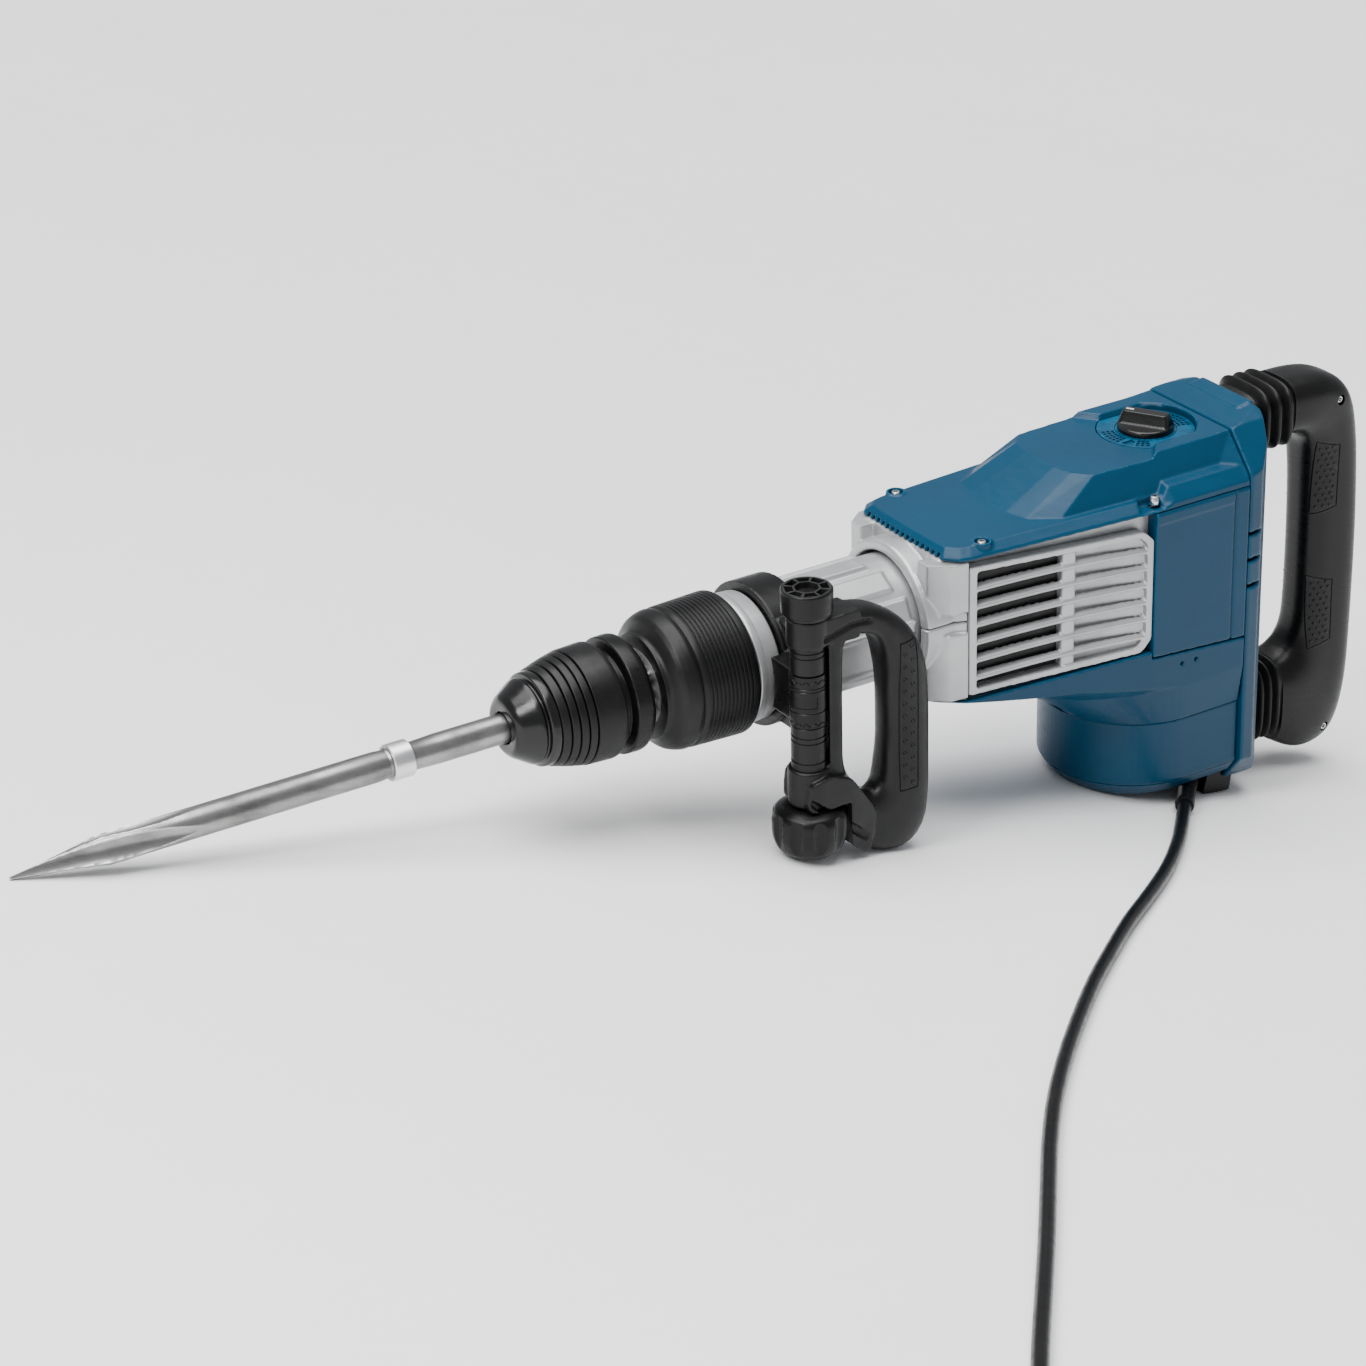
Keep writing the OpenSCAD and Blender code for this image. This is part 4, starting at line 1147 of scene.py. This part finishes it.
def panel_groove(surface, corners, direction, radius):
    """Thin tube along a closed outline on a surface, to be cut out of it."""
    outline = []
    for a, b in zip(corners, corners[1:] + corners[:1]):
        steps = max(2, int((Vector(b) - Vector(a)).length / 4))
        for i in range(steps):
            probe = Vector(a).lerp(Vector(b), i / steps)
            hit, at, _, _ = surface.ray_cast(probe, Vector(direction))
            if hit:
                outline.append(at)
    count = len(outline)
    rings = []
    for i, at in enumerate(outline):
        along = (outline[(i + 1) % count] - outline[i - 1]).normalized()
        side = along.cross(Vector(direction)).normalized()
        up = side.cross(along)
        rings.append([at + radius * (side * math.cos(k * math.pi / 3) + up * math.sin(k * math.pi / 3))
                      for k in range(6)])
    return grid("groove", rings, closed_ends=False)


def make_rear_grip():
    outer, inner = (smooth_curve([(x, z, half) for (x, z), half in zip(line, GRIP_HALF)], 6)
                    for line in (GRIP_OUTER, GRIP_INNER))
    obj = grid("grip", [tube_section(i.xy, o.xy, o.z, 96, 2 / 3.1) for o, i in zip(outer, inner)])
    bpy.context.view_layer.update()
    grooves, bumps = [], []
    x0, x1, rows = 449.5, 468, 11
    for low, high in ((-16, 36), (-112, -60)):
        for s in (-1, 1):
            corners = [(x0, s * 60, low), (x1, s * 60, low + 3), (x1, s * 60, high - 6), (x0, s * 60, high)]
            grooves.append(panel_groove(obj, corners, (0, -s, 0), 0.55))
            points = []
            for row in range(rows):
                z = low + 5 + (high - low - 11) * row / (rows - 1)
                points += [(x0 + 3 + k * 5 + (row % 2) * 2.2, s * 60, z) for k in range(3)]
            bumps += studs(points, obj, 1.2, 0.95, (0, -s, 0))
    cutters = [joined(grooves), block(477, -8, -112, 503, 8, -8)]
    cutters += [along_x(420, 452, 5.4, 0, z, 40) for z in (62.5, -140)]
    cutters += [disc(466, z, -30, -14.4, 3.5, 32, "y") for z in (62, -173)]
    cut(obj, cutters)
    whole = joined([obj] + bumps)
    piece("rear_handle_grip", whole, "rear_handle", BLACK, ["rear_grip"], 38)


def make_switch():
    outline = [(484, -111), (490.6, -110), (493.3, -92), (491.4, -60), (493.3, -28), (490.2, -10), (484, -9)]
    rocker = bevelled(prism("y", -7.4, 7.4, rounded(outline, 3, 4)), 1.2, 3, 40)
    piece("rocker_switch", rocker, "switch", BLACK, ["grip_switch"], 35)


make_bellows("bellows_upper", "upper_bellows", 45, 80, 3, 4.7)
make_bellows("bellows_lower", "lower_bellows", -165, -115, 4, 3.3)
make_rear_grip()
make_switch()
make_screws()


# ---- Side handle ------------------------------------------------------------------------
BOLT = Vector((20, -70, 0))
FLOOR_AT = TOOL.inverted() @ Vector((0, 0, 0))
FLOOR_UP = (TOOL.inverted().to_3x3() @ Vector((0, 0, 1))).normalized()


def about_bolt(z0, z1, r, steps=64):
    """Cylinder round the side handle's bolt."""
    return turned([(z0, 0), (z0, r), (z1, r), (z1, 0)], BOLT, "z", steps)


def floor_height(x):
    """Height of the floor, in the tool's frame, at a place along the tool."""
    return FLOOR_AT.z - (x - FLOOR_AT.x) * FLOOR_UP.x / FLOOR_UP.z


def loop_reach(outline, centre, angle):
    """Point where a ray from the centre leaves a closed outline."""
    ray = Vector(polar(1, angle))
    best = None
    for a, b in zip(outline, outline[1:] + outline[:1]):
        a, b = Vector(a) - centre, Vector(b) - centre
        across = a.cross(b)
        side_a, side_b = ray.cross(a), ray.cross(b)
        if side_a * side_b <= 0 and side_a != side_b:
            t = side_a / (side_a - side_b)
            hit = a.lerp(b, t)
            if hit.dot(ray) > 0 and (best is None or hit.length > best.length) and across != 0:
                best = hit
    return centre + best


LOOP_OUTER = [(27, 52), (44, 55), (62, 51.5), (81, 40), (93.5, 25), (101, 6), (103, -21), (103, -84),
              (100.5, -104), (92.5, -115), (80, -118), (66, -114.5), (46, -104), (30, -90), (26, -72),
              (27, -20)]
LOOP_INNER = [(40, 33), (50, 35.5), (62, 32), (67.5, 21), (70, 2), (70.5, -38), (68.5, -66), (62, -74),
              (54, -69), (42, -52), (39.5, -40), (39.5, 0)]


def grip_loop():
    """The side grip's closed loop, kept just above the floor at the bottom."""
    centre = Vector((57, -14))
    outer_line, inner_line = rounded(LOOP_OUTER, 14, 5), rounded(LOOP_INNER, 6, 4)
    rings = []
    for a in angles(120):
        inner, outer = loop_reach(inner_line, centre, a), loop_reach(outer_line, centre, a)
        outer.y = max(outer.y, floor_height(outer.x) + 0.2)
        grip_side = ease((math.cos(a) + 0.2) / 0.8)
        rings.append(tube_section(inner, outer, 11 + 2 * grip_side, 48, 2 / (3.0 - 0.6 * grip_side)))
    loop = grid("loop", rings, closed_ends=False)
    loop.data.transform(Matrix.Translation((0, BOLT.y, 0)))
    return loop


def grip_arms():
    """Hubs on the bolt, and the arms that join them to the loop."""
    hubs = [turned(rounded([(z0, 5.2), (z0, r), (z1, r), (z1, 5.2)], 1.2, 3), BOLT, "z", 96)
            for z0, z1, r in ((36, 54.2, 12.6), (-68, -44, 12.8))]
    # The lower arm is a wide strap that passes over the knob and tapers into the loop
    side = [(12, -50), (24, -46), (40, -52), (60, -80), (56, -108), (46, -103), (30, -88), (10, -66)]
    plan = [(4, -80), (16, -87), (40, -86), (64, -81), (64, -59), (40, -54), (16, -53), (4, -60)]
    strap = prism("y", BOLT.y - 20, BOLT.y + 20, rounded(side, 4, 3))
    boolean(strap, prism("z", -120, -30, rounded(plan, 4, 3)), "INTERSECT")
    upper = rounded([(20, 37), (50, 35), (50, 54), (20, 53)], 3, 3)
    return hubs + [prism("y", BOLT.y - 11, BOLT.y + 11, upper), strap]


def grip_cutters():
    """Slots in the arms beside the bolt, and room for the clamp's eye, the knob and the bolt."""
    upper = rounded([(24, 42), (44, 47), (58, 46), (58, 43), (44, 43.6), (24, 38.6)], 1, 2)
    lower = rounded([(12, -64), (34, -84), (52, -99), (54, -95), (36, -78), (12, -59)], 1, 2)
    cutters = []
    for s in (-1, 1):
        for slot, near, far in ((upper, 9.4, 14), (lower, 12.6, 18)):
            low, high = sorted((BOLT.y + s * near, BOLT.y + s * far))
            cutters.append(prism("y", low, high, slot))
    return cutters + [about_bolt(-42, 34, 12.2), about_bolt(-130, -68.4, 24.8), about_bolt(-80, 80, 5.2, 32)]


def grip_tubes():
    """Tubes between the arms and the clamp's eye, with turned grooves."""
    tubes = []
    for z0, z1, rings_at in ((18.6, 37, (30, 33.4)), (-46, -15.6, (-38.7, -25.5, -22))):
        profile = [(z0, 5.2), (z0, 10.2), (z0 + 0.5, 10.6)]
        for z in rings_at:
            profile += [(z - 0.6, 10.6), (z - 0.3, 10), (z + 0.3, 10), (z + 0.6, 10.6)]
        profile += [(z1 - 0.5, 10.6), (z1, 10.2), (z1, 5.2)]
        tubes.append(turned(profile, BOLT, "z", 96))
    return tubes


def make_side_grip():
    grip = moulded([grip_loop()] + grip_arms(), grip_cutters(), 0.8, 4, 0.4)
    tubes = grip_tubes()
    bpy.context.view_layer.update()
    bumps, grooves = [], []
    x0, x1, low, high = 77, 89.5, -74, 24
    rows = 23
    for s in (-1, 1):
        # Each dotted panel is found on the grip from a plane beside it
        y = BOLT.y + s * 40
        corners = [(x, y, z) for x, z in oblong(x0, low, x1, high)]
        grooves.append(panel_groove(grip, corners, (0, -s, 0), 0.6))
        points = [(x0 + (3.6 if row % 2 else 8.9), y, low + 4 + (high - low - 8) * row / (rows - 1))
                  for row in range(rows)]
        bumps += studs(points, grip, 1.3, 1.0, (0, -s, 0))
    cut(grip, grooves)
    obj = joined([grip] + tubes + bumps)
    piece("side_handle_grip", obj, "side_handle", RUBBER, ["side_grip"], 38)


def zigzag(angle, teeth):
    t = (angle / (2 * math.pi) * teeth) % 1
    return abs(2 * t - 1)


def make_clamp():
    band = cad("clamp_band")
    cutters = [block(23, -64, 20, 41, -58, 24), block(34, -60, -10, 48, -50, 10)]
    obj = moulded([band], cutters, 0.8, 3, 0.4)
    # Sleeve with the two toothed seams round the clamp's eye
    rings = []
    rows = 84
    for i in range(rows + 1):
        z = -14.9 + 32.8 * i / rows
        ring = []
        for a in angles(192):
            near_top = abs(z - (14.0 + 1.9 * zigzag(a, 14)))
            near_low = abs(z - (-13.4 + 1.9 * zigzag(a, 14)))
            plain = min(abs(z - 10.6), abs(z - 8.6), abs(z + 5.4))
            groove = 0.7 * ease(1.3 - min(near_top, near_low) / 0.45) + 0.4 * ease(1.3 - plain / 0.4)
            r = 11.1 - groove
            ring.append((*polar(r, a, BOLT.x, BOLT.y), z))
        rings.append(ring)
    sleeve = grid("sleeve", rings)
    cut(sleeve, [about_bolt(-20, 24, 10.3),
                 block(BOLT.x - 14, BOLT.y - 14, -2.2, BOLT.x - 0.5, BOLT.y + 3, 5.2)])
    piece("clamp_casting", joined([obj, sleeve]), "clamp", BLACK, ["clamp_band"])


def make_grip_cap():
    profile = [(54.6, 5.2), (54.6, 13.6), (56.4, 14), (57.2, 15.4), (70.8, 15.6), (71.8, 15), (71.8, 0),
               (57.6, 0), (57.6, 5.2)]
    shell = turned(rounded(profile, 0.5, 3), BOLT, "z", 96)
    pockets = []
    for k in range(8):
        a0, a1 = math.radians(k * 45 + 3.4), math.radians(k * 45 + 41.6)
        corners = ((a0, 8.6), (a0 * 0.97 + a1 * 0.03, 13.6), (a1 * 0.97 + a0 * 0.03, 13.6), (a1, 8.6))
        pockets.append(prism("z", 63, 75, [polar(r, a, BOLT.x, BOLT.y) for a, r in corners]))
    pockets.append(prism("z", 68, 75, [polar(7.4, math.radians(k * 45), BOLT.x, BOLT.y) for k in range(8)]))
    cut(shell, pockets)
    piece("handle_cap", bevelled(shell, 0.3, 2, 40), "side_handle", BLACK, ["grip_cap"], 35)


def make_knob():
    profile = [(-100, 0), (-100, 16), (-95.5, 20.6), (-88, 22.8), (-76, 23), (-72, 21), (-69.4, 15),
               (-69, 11), (-69, 0)]
    body = turned(rounded(profile, 2.5, 4), BOLT, "z", 96)
    cutters = [disc(*polar(26.2, math.radians(36 * k), BOLT.x, BOLT.y), -104, -73, 5.6, 32)
               for k in range(10)]
    cutters.append(disc(BOLT.x, BOLT.y, -91, -60, 5.2, 32))
    obj = moulded([body], cutters, 0.7, 4, 0.4)
    piece("handle_knob", obj, "knob", BLACK, ["clamp_knob"])


make_side_grip()
make_clamp()
make_grip_cap()
make_knob()


# ---- CAD nodes that keep their own shape ------------------------------------------------
INNER = {
    DARK_STEEL: ["tool_holder", "spindle_bearing"],
    BRIGHT: ["locking_rollers", "hammer_tube", "striker", "beat_piece",
             "wrist_pin", "crankshaft", "crank_gear", "crank_bearing", "rotor_shaft", "rotor_bearings",
             "handle_guides", "damper_springs", "clamp_bolt"],
    ALUMINIUM: ["piston", "connecting_rod"],
    IRON: ["rotor_core", "stator"],
    COPPER: ["commutator", "brush_holders"],
    BLACK: ["fan", "control_module"],
}
for material, nodes in INNER.items():
    for node in nodes:
        mesh = frame["nodes"][node].data
        mesh.materials.clear()
        mesh.materials.append(material)


# ---- Floor and light --------------------------------------------------------------------
def make_floor():
    floor = prism("z", -0.01, 0, oblong(-6, -6, 6, 6))
    floor.name = "floor"
    floor.data.materials.append(pale_floor())
    floor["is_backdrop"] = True


def area_light(name, at, towards, size, power):
    data = bpy.data.lights.new(name, "AREA")
    data.shape = "RECTANGLE"
    data.size, data.size_y = size
    data.energy = power
    light = new_object(name, data)
    light.location = at
    light.rotation_euler = (Vector(towards) - Vector(at)).to_track_quat("-Z", "Y").to_euler()


def soft_sun(name, towards, spread, strength):
    """Even light from a wide panel far above."""
    data = bpy.data.lights.new(name, "SUN")
    data.angle = math.radians(spread)
    data.energy = strength
    light = new_object(name, data)
    light.rotation_euler = Vector(towards).to_track_quat("Z", "Y").to_euler()


def make_light():
    world = bpy.data.worlds.new("studio")
    world.use_nodes = True
    background = world.node_tree.nodes["Background"]
    background.inputs["Color"].default_value = (0.94, 0.96, 1.0, 1)
    background.inputs["Strength"].default_value = 0.55
    bpy.context.scene.world = world
    soft_sun("sky_panel", (-0.25, 0.1, 1.0), 60, 5.2)
    area_light("key", (-1.5, -0.5, 1.3), (0, 0, 0.1), (0.5, 0.8), 26)


make_floor()
make_light()

repr([[list(corner) for corner in box] for box in (CAD_BOX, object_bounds())])
